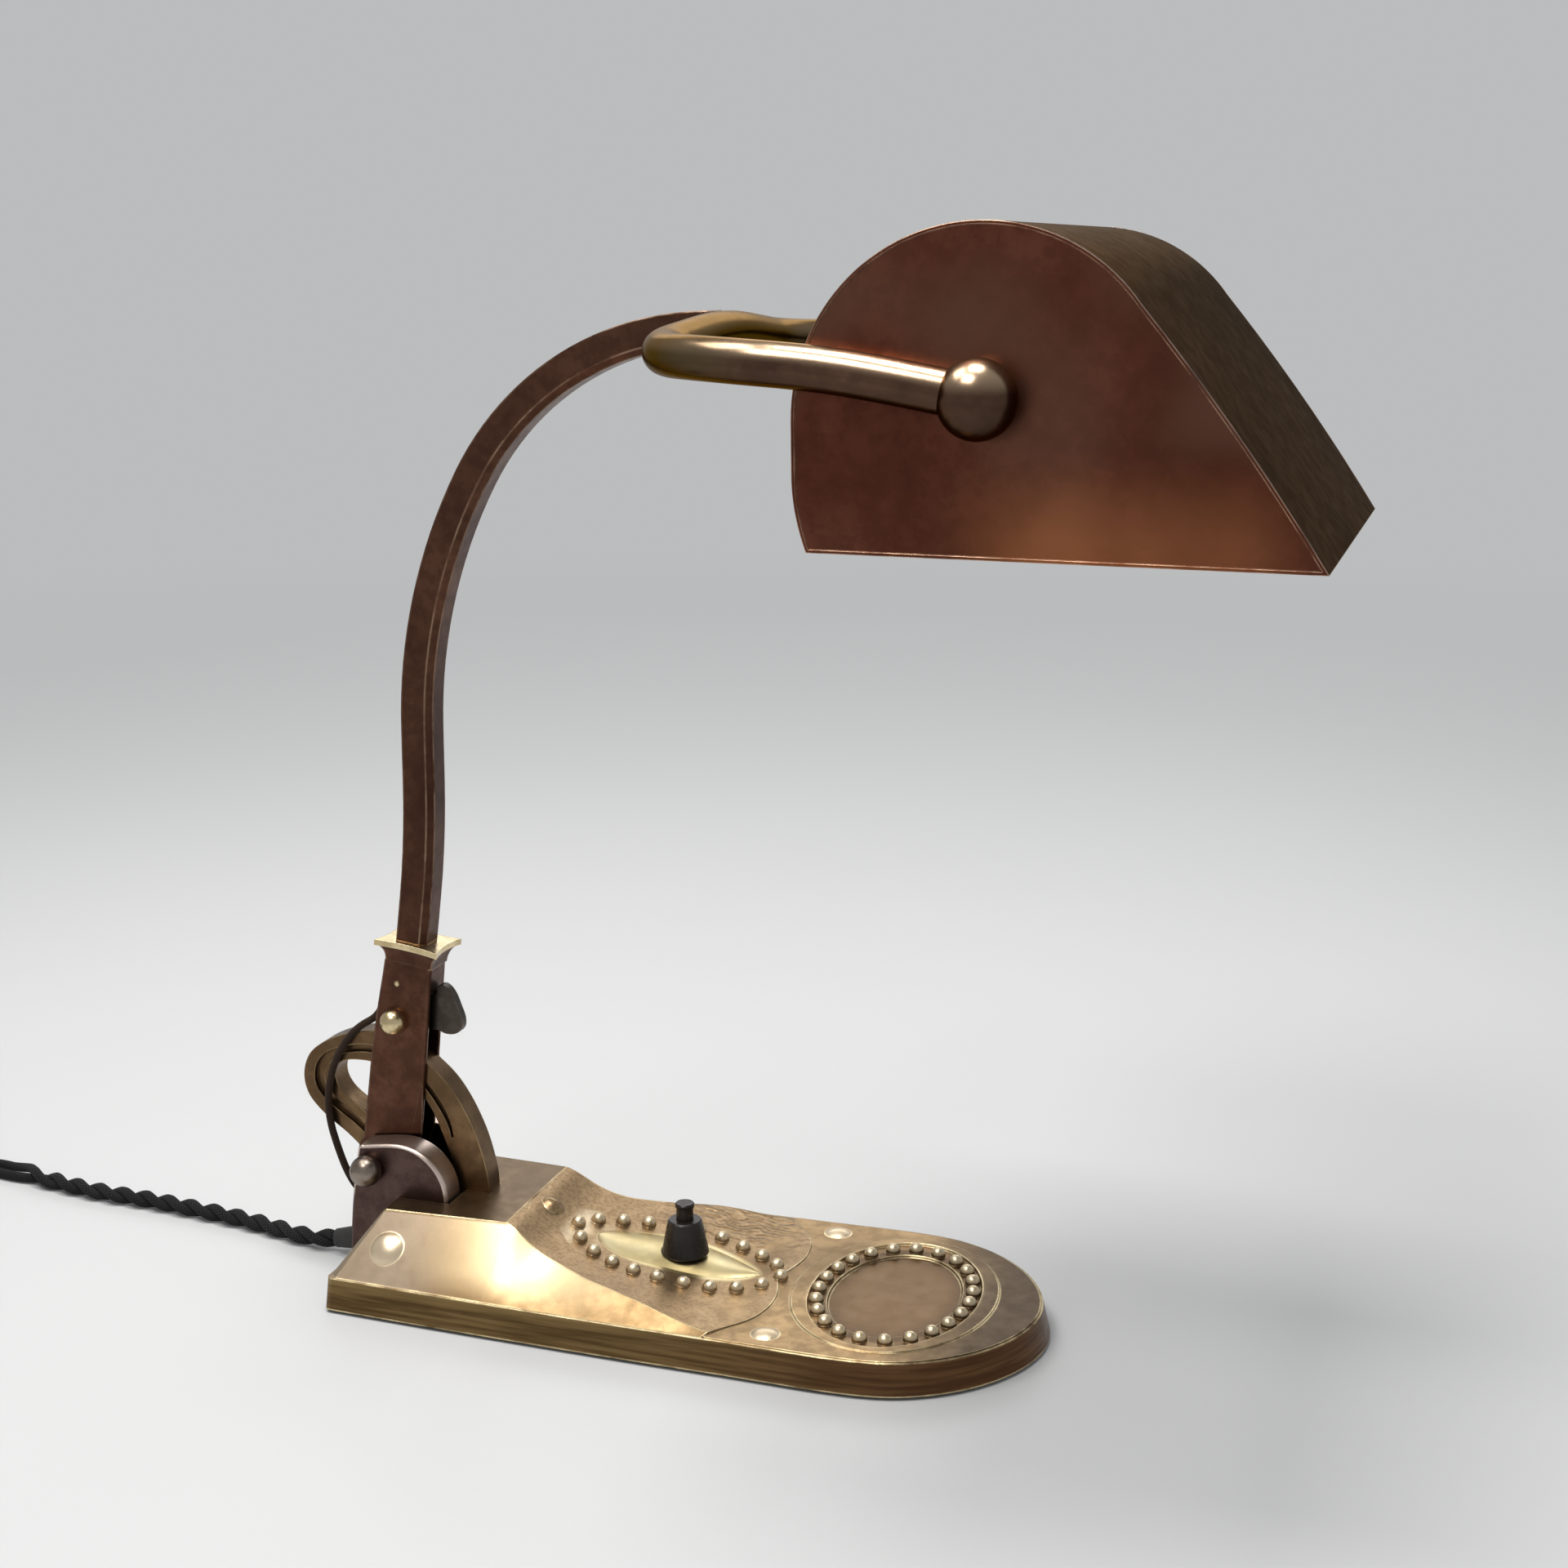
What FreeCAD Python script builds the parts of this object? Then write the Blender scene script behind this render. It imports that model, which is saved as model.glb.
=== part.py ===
# Notary lamp: a cast brass foot with a push switch, a hinged upright held by a latch on a curved
# guide bar, a swan-neck arm, and a fork whose two balls carry a tilting half-round shade.
# All sizes are millimetres. +X runs to the rounded front of the foot, +Y away from the near side,
# +Z up, and the origin is the centre of the foot's underside.
# A station is a distance along X from the foot's rear end; st() turns it into an X place.
import FreeCAD, Part
import math
import os

V = FreeCAD.Vector
Y_AXIS = V(0, 1, 0)
Z_AXIS = V(0, 0, 1)

# Foot
FOOT_LEN = 278.0
FOOT_HALF_W = 57.8
FOOT_ROUND_AT = 215.3
FOOT_TAPER = 0.000104
FOOT_NOSE_LEN = 59.7
FOOT_NOSE_POWER = 1.9
FOOT_REAR_R = 3.0
WALL_SPREAD = 2.9
FELT_T = 1.0
WALL_TOP = 13.0
LEDGE = 0.8
FRONT_TOP = 13.4
PLATEAU_Z = 35.5
PLATEAU_REAR = 16.0
PLATEAU_FRONT = 68.0
PLATEAU_REAR_HALF_W = 32.0
PLATE_T = 1.2
ROOF_T = 3.2
STEEP_ROOF_T = 4.8
STEEP_ABOVE = 30.0
SIDE_T = 4.5

# The ramp between plateau and front: station, ridge half-width, ridge height, dip of the middle
RAMP = [
    (68.0, 29.5, 35.5, 0.3),
    (75.5, 31.3, 31.2, 0.4),
    (82.0, 32.5, 27.2, 0.7),
    (92.0, 34.3, 23.5, 1.3),
    (104.0, 38.4, 21.2, 1.8),
    (118.0, 43.0, 20.0, 2.0),
    (131.0, 47.2, 18.8, 2.0),
    (146.0, 51.0, 16.0, 1.4),
    (153.0, 52.4, 14.8, 1.0),
    (160.0, 53.6, 14.1, 0.6),
    (180.0, 55.4, 13.7, 0.25),
]

# Bead rings: centre station, half-length along X, half-width along Y, power, count
SWITCH_RING = (128.6, 42.8, 23.0, 1.8, 20)
FRONT_RING = (217.9, 29.4, 40.8, 2.0, 23)
BEAD_R = 2.9
BEAD_RISE = 0.5

# Hinge of the upright on the bracket
PIVOT_STATION = 3.5
PIVOT_Z = 46.5
PIVOT_R = 3.0
LEAN_DEG = 7.8
CHEEK_OUT = 20.0
CHEEK_IN = 8.0
CHEEK_ROUND = 1.6
NOTCH_LEN = 38.6
NOTCH_Z = 6.0
FIT = 0.02
RUN_FIT = 0.05

# Upright, in its own frame: u forward and w up from the hinge
POST_HALF_Y = 7.1
SLOT_HALF_Y = 5.3
SLOT_TOP_W = 73.3
POST_TOP_W = 84.5
COLLAR_W = 90.8
COLLAR_T = 2.4
COLLAR_U = 3.05
COLLAR_HALF = (13.8, 11.0)
COLLAR_HOLLOW = 1.7

# Guide bar
BAR_HALF_Y = 5.0
BAR_EYE_R = 9.0

# Latch
LATCH_STATION = 11.0
LATCH_Z = 105.5
LATCH_PIN_R = 2.0
LEVER_HALF_Y = 2.0

# Arm: straight runs and bends (radius, turn in degrees, positive turns it forward)
ARM_HALF_Y = 7.0
ARM_T = 12.5
ARM_CHAMFER = 2.5
ARM_BORE_R = 3.0
ARM_START_W = 80.0
TENON_HALF = (4.6, 5.0)
ARM_STRAIGHT_1 = 32.0
ARM_BEND_BACK = (387.0, -6.9)
ARM_STRAIGHT_2 = 22.4
ARM_BEND_1 = (203.0, 28.85)
ARM_BEND_2 = (110.3, 58.25)
ARM_STRAIGHT_3 = 4.5

# Fork and its balls
FORK_R = 7.2
FORK_BORE_R = 4.4
FORK_LEG_Y = 105.2
FORK_BAR_STATION = 152.0
FORK_BAR_Z = 378.0
FORK_BEND_R = 55.0
BALL_R = 12.7
TILT_STATION = 270.2
TILT_Z = 361.4
STUD_R = 3.0

# Shade
SHADE_CENTRE = (268.9, 353.8)
SHADE_R = 60.6
SHADE_HALF_Y = 96.6
SHADE_T = 0.8
SHADE_REAR = (213.2, 312.0)
SHADE_REAR_TURN = (209.7, 324.0)
SHADE_REAR_TOP = (208.4, 338.0)
SHADE_FRONT = (376.0, 310.7)
SHADE_TANGENT_DEG = 36.0
SHADE_FRONT_BULGE = 1.5
RIM_W = 1.1
RIM_PROUD = 0.35

# Lampholder and bulb, lying along Y inside the shade
LAMP_STATION = 262.0
LAMP_Z = 345.0

# Switch
SWITCH_STATION = 131.5
CONE_Z0 = 18.8
CONE_Z1 = 33.0
CONE_R0 = 9.45
CONE_R1 = 6.7
BUTTON_R = 3.4
BUTTON_TOP = 40.0

# Mains cord
CORD_R = 3.5
CORD_Z = 3.6
BUSH_Y = -4.0
BUSH_Z = 8.5
BUSH_DROOP_DEG = 10.0
BUSH_IN = 6.0
BUSH_OUT = 15.0
FACE_GAP = 0.08
COIL_PITCH = 7.8
COIL_TUCK = 1.6
COIL_INNER_R = 29.0
COIL_TURNS_LOW = 3.0
COIL_TURNS_HIGH = 2.75
COIL_CENTRE = (-262.0, -18.0)
COIL_START_DEG = 76.0
PLUG_R = 13.0


def st(station):
    """The X place of a station measured from the foot's rear end."""
    return station - FOOT_LEN / 2


def box(x0, x1, y0, y1, z0, z1):
    return Part.makeBox(x1 - x0, y1 - y0, z1 - z0, V(x0, y0, z0))


def rod(r, start, end):
    """A round rod between two points."""
    axis = end - start
    return Part.makeCylinder(r, axis.Length, start, axis)


def tube(r_out, r_in, start, end):
    return rod(r_out, start, end).cut(rod(r_in, start, end))


def turned(profile, base, axis):
    """A solid of revolution from (distance along the axis, radius) points."""
    points = [V(r, 0, h) for h, r in profile]
    face = Part.Face(Part.makePolygon(points + [points[0]]))
    solid = face.revolve(V(0, 0, 0), Z_AXIS, 360)
    solid.Placement = FreeCAD.Placement(base, FreeCAD.Rotation(Z_AXIS, axis))
    return solid


def spline(points, start=None, end=None):
    curve = Part.BSplineCurve()
    if start is None:
        curve.interpolate(Points=points)
    else:
        curve.interpolate(Points=points, InitialTangent=start, FinalTangent=end)
    return curve.toShape()


def xz(points):
    """Points in the lamp's middle plane, given as station and height."""
    return [V(st(a), 0, z) for a, z in points]


def plate_y(edges, y0, y1):
    """A plate with a closed outline in the XZ plane, from y0 to y1."""
    face = Part.Face(Part.Wire(Part.__sortEdges__(edges)))
    plate = face.extrude(V(0, y1 - y0, 0))
    plate.translate(V(0, y0, 0))
    return plate


def mirrored(shape):
    """The same shape on the far side."""
    return shape.mirror(V(0, 0, 0), Y_AXIS)


def group(solids):
    """Separate solids kept in one node."""
    return Part.makeCompound([s for shape in solids for s in shape.Solids])


def arc_from_tangent(start, tangent, end):
    """The arc that leaves start along tangent and reaches end."""
    chord = end - start
    across = chord - tangent * chord.dot(tangent)
    if across.Length < chord.Length * 1e-5:
        return Part.LineSegment(start, end).toShape()
    normal = V(across).normalize()
    radius = chord.Length ** 2 / (2 * chord.dot(normal))
    centre = start + normal * radius
    middle_way = ((start + end) * 0.5 - centre).normalize()
    if chord.dot(tangent) < 0:
        middle_way = middle_way * -1
    return Part.Arc(start, centre + middle_way * radius, end).toShape()


def biarc(p0, t0, p1, t1):
    """Two tangent arcs from p0 along t0 to p1 along t1."""
    chord = p1 - p0
    b = chord.dot(t0 + t1)
    a = 2 * (1 - t0.dot(t1))
    if a < 1e-9:
        d = chord.dot(chord) / (4 * chord.dot(t0))
    else:
        d = (-b + math.sqrt(b * b + a * chord.dot(chord))) / a
    joint = (p0 + t0 * d + p1 - t1 * d) * 0.5
    return [arc_from_tangent(p0, t0, joint), arc_from_tangent(p1, t1 * -1, joint)]


def biarc_path(knots):
    """A smooth path of arcs through (point, direction) knots."""
    edges = []
    for (p0, t0), (p1, t1) in zip(knots, knots[1:]):
        edges += biarc(p0, V(t0).normalize(), p1, V(t1).normalize())
    return edges


def rounded_path(points):
    """Straight runs joined by tangent arcs, each as large as its two runs allow."""
    edges = []
    radii = []
    here = points[0]
    for before, corner, after in zip(points, points[1:], points[2:]):
        run_in = corner - before
        run_out = after - corner
        turn = run_in.getAngle(run_out)
        back = 0.45 * min(run_in.Length, run_out.Length)
        radii.append(back / math.tan(turn / 2))
        arc_start = corner - V(run_in).normalize() * back
        arc_end = corner + V(run_out).normalize() * back
        bisector = (V(run_out).normalize() - V(run_in).normalize()).normalize()
        centre = corner + bisector * math.hypot(radii[-1], back)
        middle = centre - bisector * radii[-1]
        edges.append(Part.LineSegment(here, arc_start).toShape())
        edges.append(Part.Arc(arc_start, middle, arc_end).toShape())
        here = arc_end
    edges.append(Part.LineSegment(here, points[-1]).toShape())
    return edges, radii


def path_length(edges):
    return sum(e.Length for e in edges)


def swept(edges, r):
    """A round wire or tube of radius r along tangent edges."""
    path = Part.Wire(Part.__sortEdges__(edges))
    first = path.OrderedEdges[0]
    start = path.OrderedVertexes[0].Point
    direction = first.tangentAt(first.FirstParameter)
    if first.valueAt(first.FirstParameter).distanceToPoint(start) > 1e-6:
        direction = first.tangentAt(first.LastParameter) * -1
    section = Part.Wire(Part.makeCircle(r, start, direction))
    return path.makePipeShell([section], True, False)


def lead(points, r):
    """A flexible lead along hand-placed points."""
    edges, _ = rounded_path(points)
    return swept(edges, r)


def helix_knots(centre, radius, height, turns):
    """Knots of a coil spring standing on centre, one each quarter turn."""
    steps = int(round(turns * 4))
    rise = height / (turns * 2 * math.pi)
    knots = []
    for i in range(steps + 1):
        angle = math.pi / 2 * i
        place = V(math.cos(angle) * radius, math.sin(angle) * radius, height * i / steps)
        knots.append((centre + place, V(-math.sin(angle) * radius, math.cos(angle) * radius, rise)))
    return knots


def coil_spring(centre, radius, height, turns, wire_r):
    return swept(biarc_path(helix_knots(centre, radius, height, turns)), wire_r)


def hexagon(across, height, base, axis):
    corner_r = across / 2 / math.cos(math.pi / 6)
    points = [V(corner_r * math.cos(math.pi / 3 * i), corner_r * math.sin(math.pi / 3 * i), 0)
              for i in range(7)]
    solid = Part.Face(Part.makePolygon(points)).extrude(V(0, 0, height))
    solid.Placement = FreeCAD.Placement(base, FreeCAD.Rotation(Z_AXIS, axis))
    return solid


def dome(base, axis, r, height):
    """A low round boss standing on a surface."""
    ball_r = (r * r + height * height) / (2 * height)
    axis = V(axis).normalize()
    ball = Part.makeSphere(ball_r, base + axis * (height - ball_r))
    return ball.common(Part.makeCylinder(r, height + 3.0, base - axis * 1.5, axis))


def ball_head(centre, r, flat_y):
    """A ball cut flat at flat_y, towards the middle of the lamp."""
    ball = Part.makeSphere(r, centre)
    side = 4 * r
    y0, y1 = (flat_y - side, flat_y) if centre.y < 0 else (flat_y, flat_y + side)
    return ball.common(box(centre.x - side, centre.x + side, y0, y1, centre.z - side, centre.z + side))


# Foot

def half_width(station, grow):
    """Half the foot's width at a station behind the rounded front."""
    return FOOT_HALF_W + grow - FOOT_TAPER * (FOOT_ROUND_AT - station) ** 2


def side_points(grow, rear, z):
    """Points along the near side, from the rear corner to the tip of the front."""
    points = []
    straight = [rear + FOOT_REAR_R] + [s for s in (45.0, 90.0, 135.0, 180.0) if s > rear + 15.0]
    for station in straight:
        points.append(V(st(station), -half_width(station, grow), z))
    for degrees in (90, 75, 60, 45, 30, 16, 7):
        t = math.radians(degrees)
        along = (FOOT_NOSE_LEN + grow) * math.cos(t) ** (2 / FOOT_NOSE_POWER)
        aside = (FOOT_HALF_W + grow) * math.sin(t) ** (2 / FOOT_NOSE_POWER)
        points.append(V(st(FOOT_ROUND_AT + along), -aside, z))
    points.append(V(st(FOOT_ROUND_AT + FOOT_NOSE_LEN + grow), 0, z))
    return points


def rear_corner(grow, rear, z):
    """The rounded near rear corner, from the side to the rear edge."""
    side_y = -half_width(rear + FOOT_REAR_R, grow)
    centre = V(st(rear + FOOT_REAR_R), side_y + FOOT_REAR_R, z)
    start = V(st(rear + FOOT_REAR_R), side_y, z)
    middle = centre + V(-1, -1, 0) * (FOOT_REAR_R * math.sqrt(0.5))
    end = V(st(rear), side_y + FOOT_REAR_R, z)
    return Part.Arc(start, middle, end).toShape()


def foot_wire(grow, rear, z):
    """The foot's outline, grown outwards by grow, at height z."""
    slope = 2 * FOOT_TAPER * (FOOT_ROUND_AT - rear)
    near = spline(side_points(grow, rear, z), V(1, -slope, 0), V(0, 1, 0))
    near_corner = rear_corner(grow, rear, z)
    far = mirrored(near)
    far_corner = mirrored(near_corner)
    corner_y = half_width(rear + FOOT_REAR_R, grow) - FOOT_REAR_R
    back = Part.LineSegment(V(st(rear), -corner_y, z), V(st(rear), corner_y, z)).toShape()
    return Part.Wire(Part.__sortEdges__([near, near_corner, back, far_corner, far]))


def foot_slab(grow, rear, z0, z1):
    return Part.Face(foot_wire(grow, rear, z0)).extrude(V(0, 0, z1 - z0))


def plateau_ring(rear, rear_half, front_half, z, corner):
    """A six-cornered outline round the plateau at height z."""
    near = [V(st(PLATEAU_FRONT), -front_half, z), V(st(rear + corner), -rear_half, z),
            V(st(rear), -rear_half + corner, z)]
    far = [V(p.x, -p.y, z) for p in reversed(near)]
    return Part.makePolygon(near + far + [near[0]])


def plateau_block():
    """The flat-topped rear of the foot with its sloping sides and rear."""
    low = plateau_ring(LEDGE, half_width(FOOT_REAR_R, -LEDGE), half_width(PLATEAU_FRONT, -LEDGE),
                       WALL_TOP, FOOT_REAR_R)
    high = plateau_ring(PLATEAU_REAR, PLATEAU_REAR_HALF_W, RAMP[0][1], PLATEAU_Z, 0.8)
    return Part.makeLoft([low, high], True, True)


def ramp_section(station, half_y, ridge_z, dip):
    """The foot's cross-section at one station of the ramp, with a slightly hollow top."""
    x = st(station)
    low_y = half_width(station, -LEDGE)
    skirt_z = WALL_TOP - 1.0
    corners = [V(x, -half_y, ridge_z), V(x, -low_y, WALL_TOP), V(x, -low_y, skirt_z),
               V(x, low_y, skirt_z), V(x, low_y, WALL_TOP), V(x, half_y, ridge_z)]
    top = Part.Arc(corners[-1], V(x, 0, ridge_z - dip), corners[0]).toShape()
    return Part.Wire(Part.makePolygon(corners).Edges + [top])


def leaf_end():
    """The outline in which the ramp's raised field ends, two lobes that meet behind the front ring."""
    lobe = [(156.0, -60.0), (160.5, -53.5), (164.8, -47.3), (170.6, -40.0), (174.2, -31.0),
            (175.3, -20.0), (173.6, -10.0), (170.0, 0.0)]
    near = spline([V(st(a), y, 0) for a, y in lobe])
    far = mirrored(near)
    rear = st(PLATEAU_FRONT - 1.0)
    start = V(st(lobe[0][0]), lobe[0][1], 0)
    sides = Part.makePolygon([start, V(rear, -60, 0), V(rear, 60, 0), V(start.x, 60, 0)]).Edges
    wire = Part.Wire(Part.__sortEdges__([near, far] + sides))
    return Part.Face(wire).extrude(V(0, 0, PLATEAU_Z + 1.0))


def field_z(station, y):
    """Height of the ramp's raised field."""
    for (a0, w0, z0, d0), (a1, w1, z1, d1) in zip(RAMP, RAMP[1:]):
        if a0 <= station <= a1:
            k = (station - a0) / (a1 - a0)
            half_y = w0 + (w1 - w0) * k
            dip = d0 + (d1 - d0) * k
            return z0 + (z1 - z0) * k - dip * (1 - (y / half_y) ** 2)
    return FRONT_TOP


def ring_points(ring):
    """Evenly spaced places on a bead ring, the first at its front."""
    centre, half_x, half_y, power, count = ring
    outline = []
    samples = 720
    for i in range(samples + 1):
        t = 2 * math.pi * i / samples
        c = math.cos(t)
        s = math.sin(t)
        outline.append((centre + half_x * math.copysign(abs(c) ** (2 / power), c),
                        half_y * math.copysign(abs(s) ** (2 / power), s)))
    runs = [0.0]
    for (a0, y0), (a1, y1) in zip(outline, outline[1:]):
        runs.append(runs[-1] + math.hypot(a1 - a0, y1 - y0))
    places = []
    k = 0
    for bead in range(count):
        target = runs[-1] * bead / count
        while runs[k + 1] < target:
            k += 1
        places.append(outline[k])
    return places


def ellipse_wire(half_x, half_y, z):
    centre = V(st(FRONT_RING[0]), 0, z)
    curve = Part.Ellipse(centre + V(0, half_y, 0), centre + V(half_x, 0, 0), centre)
    return Part.Wire(curve.toShape())


def ellipse_block(low, z0, high, z1):
    """A short oval block round the front ring's centre, with sloping sides."""
    return Part.makeLoft([ellipse_wire(low[0], low[1], z0), ellipse_wire(high[0], high[1], z1)], True, True)


def leaf_dome():
    """The long pointed dome that the switch stands on, cast into the ramp."""
    # Station, half-width and rise of the dome
    sections = [(94.5, 1.2, 0.3), (97.5, 5.6, 1.0), (103.0, 9.4, 1.7), (112.0, 12.4, 2.2),
                (122.0, 13.5, 2.4), (132.0, 13.3, 2.4), (142.0, 11.6, 2.2), (150.0, 8.8, 1.9),
                (157.0, 5.2, 1.4), (163.0, 0.8, 0.5)]
    wires = []
    for station, half_y, rise in sections:
        x = st(station)
        z = field_z(station, 0)
        left = V(x, -half_y, z)
        right = V(x, half_y, z)
        arc = Part.Arc(left, V(x, 0, z + rise), right).toShape()
        under = [right, right - V(0, 0, 1.5), left - V(0, 0, 1.5), left]
        wires.append(Part.Wire([arc] + Part.makePolygon(under).Edges))
    return Part.makeLoft(wires, True, False)


# Pillars inside the foot that take the plate's screws: station and Y
PILLARS = [(58.0, -42.0), (58.0, 42.0), (246.0, -33.0), (246.0, 33.0)]
PILLAR_R = 5.0


def cavity():
    """The hollow under the casting, open below."""
    floor_z = FELT_T - 0.5
    front = foot_slab(-SIDE_T, 150.0, floor_z, FRONT_TOP - 4.0)
    wires = []
    for station, half_y, ridge_z, dip in [(52.0, 29.5, PLATEAU_Z, 0.3)] + RAMP[1:-1]:
        x = st(station)
        low_y = half_width(station, -SIDE_T)
        roof_t = STEEP_ROOF_T if ridge_z > STEEP_ABOVE else ROOF_T
        roof_z = ridge_z - dip - roof_t
        top_y = half_y - SIDE_T
        corners = [V(x, -low_y, floor_z), V(x, low_y, floor_z), V(x, low_y, WALL_TOP - 4.0),
                   V(x, top_y, roof_z), V(x, -top_y, roof_z), V(x, -low_y, WALL_TOP - 4.0)]
        wires.append(Part.makePolygon(corners + [corners[0]]))
    hollow = front.fuse(Part.makeLoft(wires, True, True))
    pocket_yz = [(24.0, floor_z), (47.5, floor_z), (47.5, 9.5), (33.5, 25.5), (24.0, 25.5)]
    corners = [V(st(14.0), y, z) for y, z in pocket_yz]
    pocket = Part.Face(Part.makePolygon(corners + [corners[0]])).extrude(V(PLATEAU_FRONT - 15.0, 0, 0))
    hollow = hollow.fuse([pocket, mirrored(pocket)])
    for station, y in PILLARS:
        hollow = hollow.cut(rod(PILLAR_R, V(st(station), y, 0), V(st(station), y, PLATEAU_Z)))
    return hollow


BRACKET_SCREWS = [(16.0, -15.0), (16.0, 15.0)]
ARCH_SCREW_STATION = 42.5
WIRE_HOLE_Y = 8.3
WIRE_HOLE_Z = 9.5


def foot_holes():
    """The notch for the bracket, and the holes and seats for what the foot carries."""
    notch = box(st(-5), st(NOTCH_LEN), -CHEEK_OUT - 0.1, CHEEK_OUT + 0.1, NOTCH_Z, 60)
    trench = box(st(-5), st(34.5), -9.6, 9.6, 4.4, 20)
    bar_slot = box(st(NOTCH_LEN - 1), st(49.1), -BAR_HALF_Y - 0.1, BAR_HALF_Y + 0.1, 10.0, 60)
    wire_hole = rod(2.4, V(st(30), WIRE_HOLE_Y, WIRE_HOLE_Z), V(st(60), WIRE_HOLE_Y, WIRE_HOLE_Z))
    rebate = foot_slab(-2.4, 3.0, FELT_T - 1.0, FELT_T + PLATE_T)
    holes = [notch, trench, bar_slot, wire_hole, rebate]
    for station, y in PILLARS:
        holes.append(rod(1.5 + FIT, V(st(station), y, 0), V(st(station), y, 9.3)))
    for station, y in BRACKET_SCREWS:
        holes.append(rod(3.5, V(st(station), y, 0), V(st(station), y, 4.4)))
        holes.append(rod(2.0, V(st(station), y, 0), V(st(station), y, 8.0)))
    screw_x = st(ARCH_SCREW_STATION)
    holes.append(rod(3.5, V(screw_x, 0, 0), V(screw_x, 0, 7.5)))
    holes.append(rod(2.0, V(screw_x, 0, 0), V(screw_x, 0, 12.0)))
    seat = V(st(SWITCH_STATION), 0, CONE_Z0)
    holes.append(rod(CONE_R0 + 0.1, seat, seat + V(0, 0, 6)))
    holes.append(rod(6.6, V(seat.x, 0, 5), seat + V(0, 0, 6)))
    return holes


def base_casting():
    """The hollow cast foot with its beads, bosses and leaf dome."""
    walls = Part.makeLoft([foot_wire(WALL_SPREAD, 0, FELT_T), foot_wire(0, 0, WALL_TOP)], True, True)
    top = foot_slab(-LEDGE, 158.0, WALL_TOP - 1.0, FRONT_TOP)
    ramp = Part.makeLoft([ramp_section(*row) for row in RAMP], True, False).common(leaf_end())
    rim = ellipse_block((40.2, 50.9), FRONT_TOP - 0.5, (39.3, 50.0), FRONT_TOP + 0.6)
    body = walls.fuse([top, plateau_block(), ramp, rim, leaf_dome()])
    body = body.cut(ellipse_block((32.2, 45.8), FRONT_TOP - 0.4, (33.0, 46.6), FRONT_TOP + 1.0))
    body = body.cut(ellipse_block((24.8, 36.1), 12.0, (26.2, 37.5), FRONT_TOP + 1.0))
    front_bosses = [dome(V(st(180.7), y, FRONT_TOP), Z_AXIS, 5.5, 1.7) for y in (-47.2, 47.2)]
    side_boss = dome(V(st(22.0), -42.6, 23.7), V(0, -0.736, 0.677), 7.0, 2.6)
    ramp_boss = dome(V(st(74.5), 0, field_z(74.5, 0)), V(0.5, 0, 0.866), 5.2, 2.6)
    body = body.fuse(front_bosses + [side_boss, mirrored(side_boss), ramp_boss])
    beads = [Part.makeSphere(BEAD_R, V(st(a), y, field_z(a, y) + BEAD_RISE))
             for a, y in ring_points(SWITCH_RING)]
    beads += [Part.makeSphere(BEAD_R, V(st(a), y, FRONT_TOP - 0.4 + BEAD_RISE))
              for a, y in ring_points(FRONT_RING)]
    body = body.fuse(beads)
    return body.cut(cavity()).cut(foot_holes())


def felt_pad():
    return foot_slab(WALL_SPREAD - 1.5, 1.5, 0, FELT_T)


def bottom_plate():
    plate = foot_slab(-2.5, 3.1, FELT_T, FELT_T + PLATE_T)
    for station, y in PILLARS:
        plate = plate.cut(Part.makeCone(3.1, 1.7, PLATE_T + 0.2, V(st(station), y, FELT_T - 0.1)))
    return plate


def bottom_screws():
    screws = []
    for station, y in PILLARS:
        base = V(st(station), y, FELT_T + 0.1)
        screws.append(turned([(0, 0), (0, 2.8), (1.1, 1.5), (7.8, 1.5), (7.8, 0)], base, Z_AXIS))
    return group(screws)


def ballast():
    corners = [(165, -38), (222, -38), (238, -26), (238, 26), (222, 38), (165, 38)]
    points = [V(st(a), y, FELT_T + PLATE_T + 0.05) for a, y in corners]
    return Part.Face(Part.makePolygon(points + [points[0]])).extrude(V(0, 0, 6.6))


def machine_screw(base, head_h, length):
    """A cheese-head screw pointing up, with its head at base."""
    return turned([(0, 0), (0, 3.4), (head_h, 3.4), (head_h, 1.95), (length, 1.95), (length, 0)],
                  base, Z_AXIS)


def bracket_screws():
    return group([machine_screw(V(st(a), y, 2.3), 2.1, 13.5) for a, y in BRACKET_SCREWS])


def arch_screw():
    return machine_screw(V(st(ARCH_SCREW_STATION), 0, 5.4), 2.1, 16.0)


# Bracket and hinge

def bush_axis():
    droop = math.radians(BUSH_DROOP_DEG)
    return V(-math.cos(droop), 0, -math.sin(droop))


def bush_mouth():
    """Where the cord bush comes out of the bracket's rear face."""
    return V(st(-7.2), BUSH_Y, BUSH_Z)


LEAD_Y = -4.5
LEAD_EXIT_Z = 28.0


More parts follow.
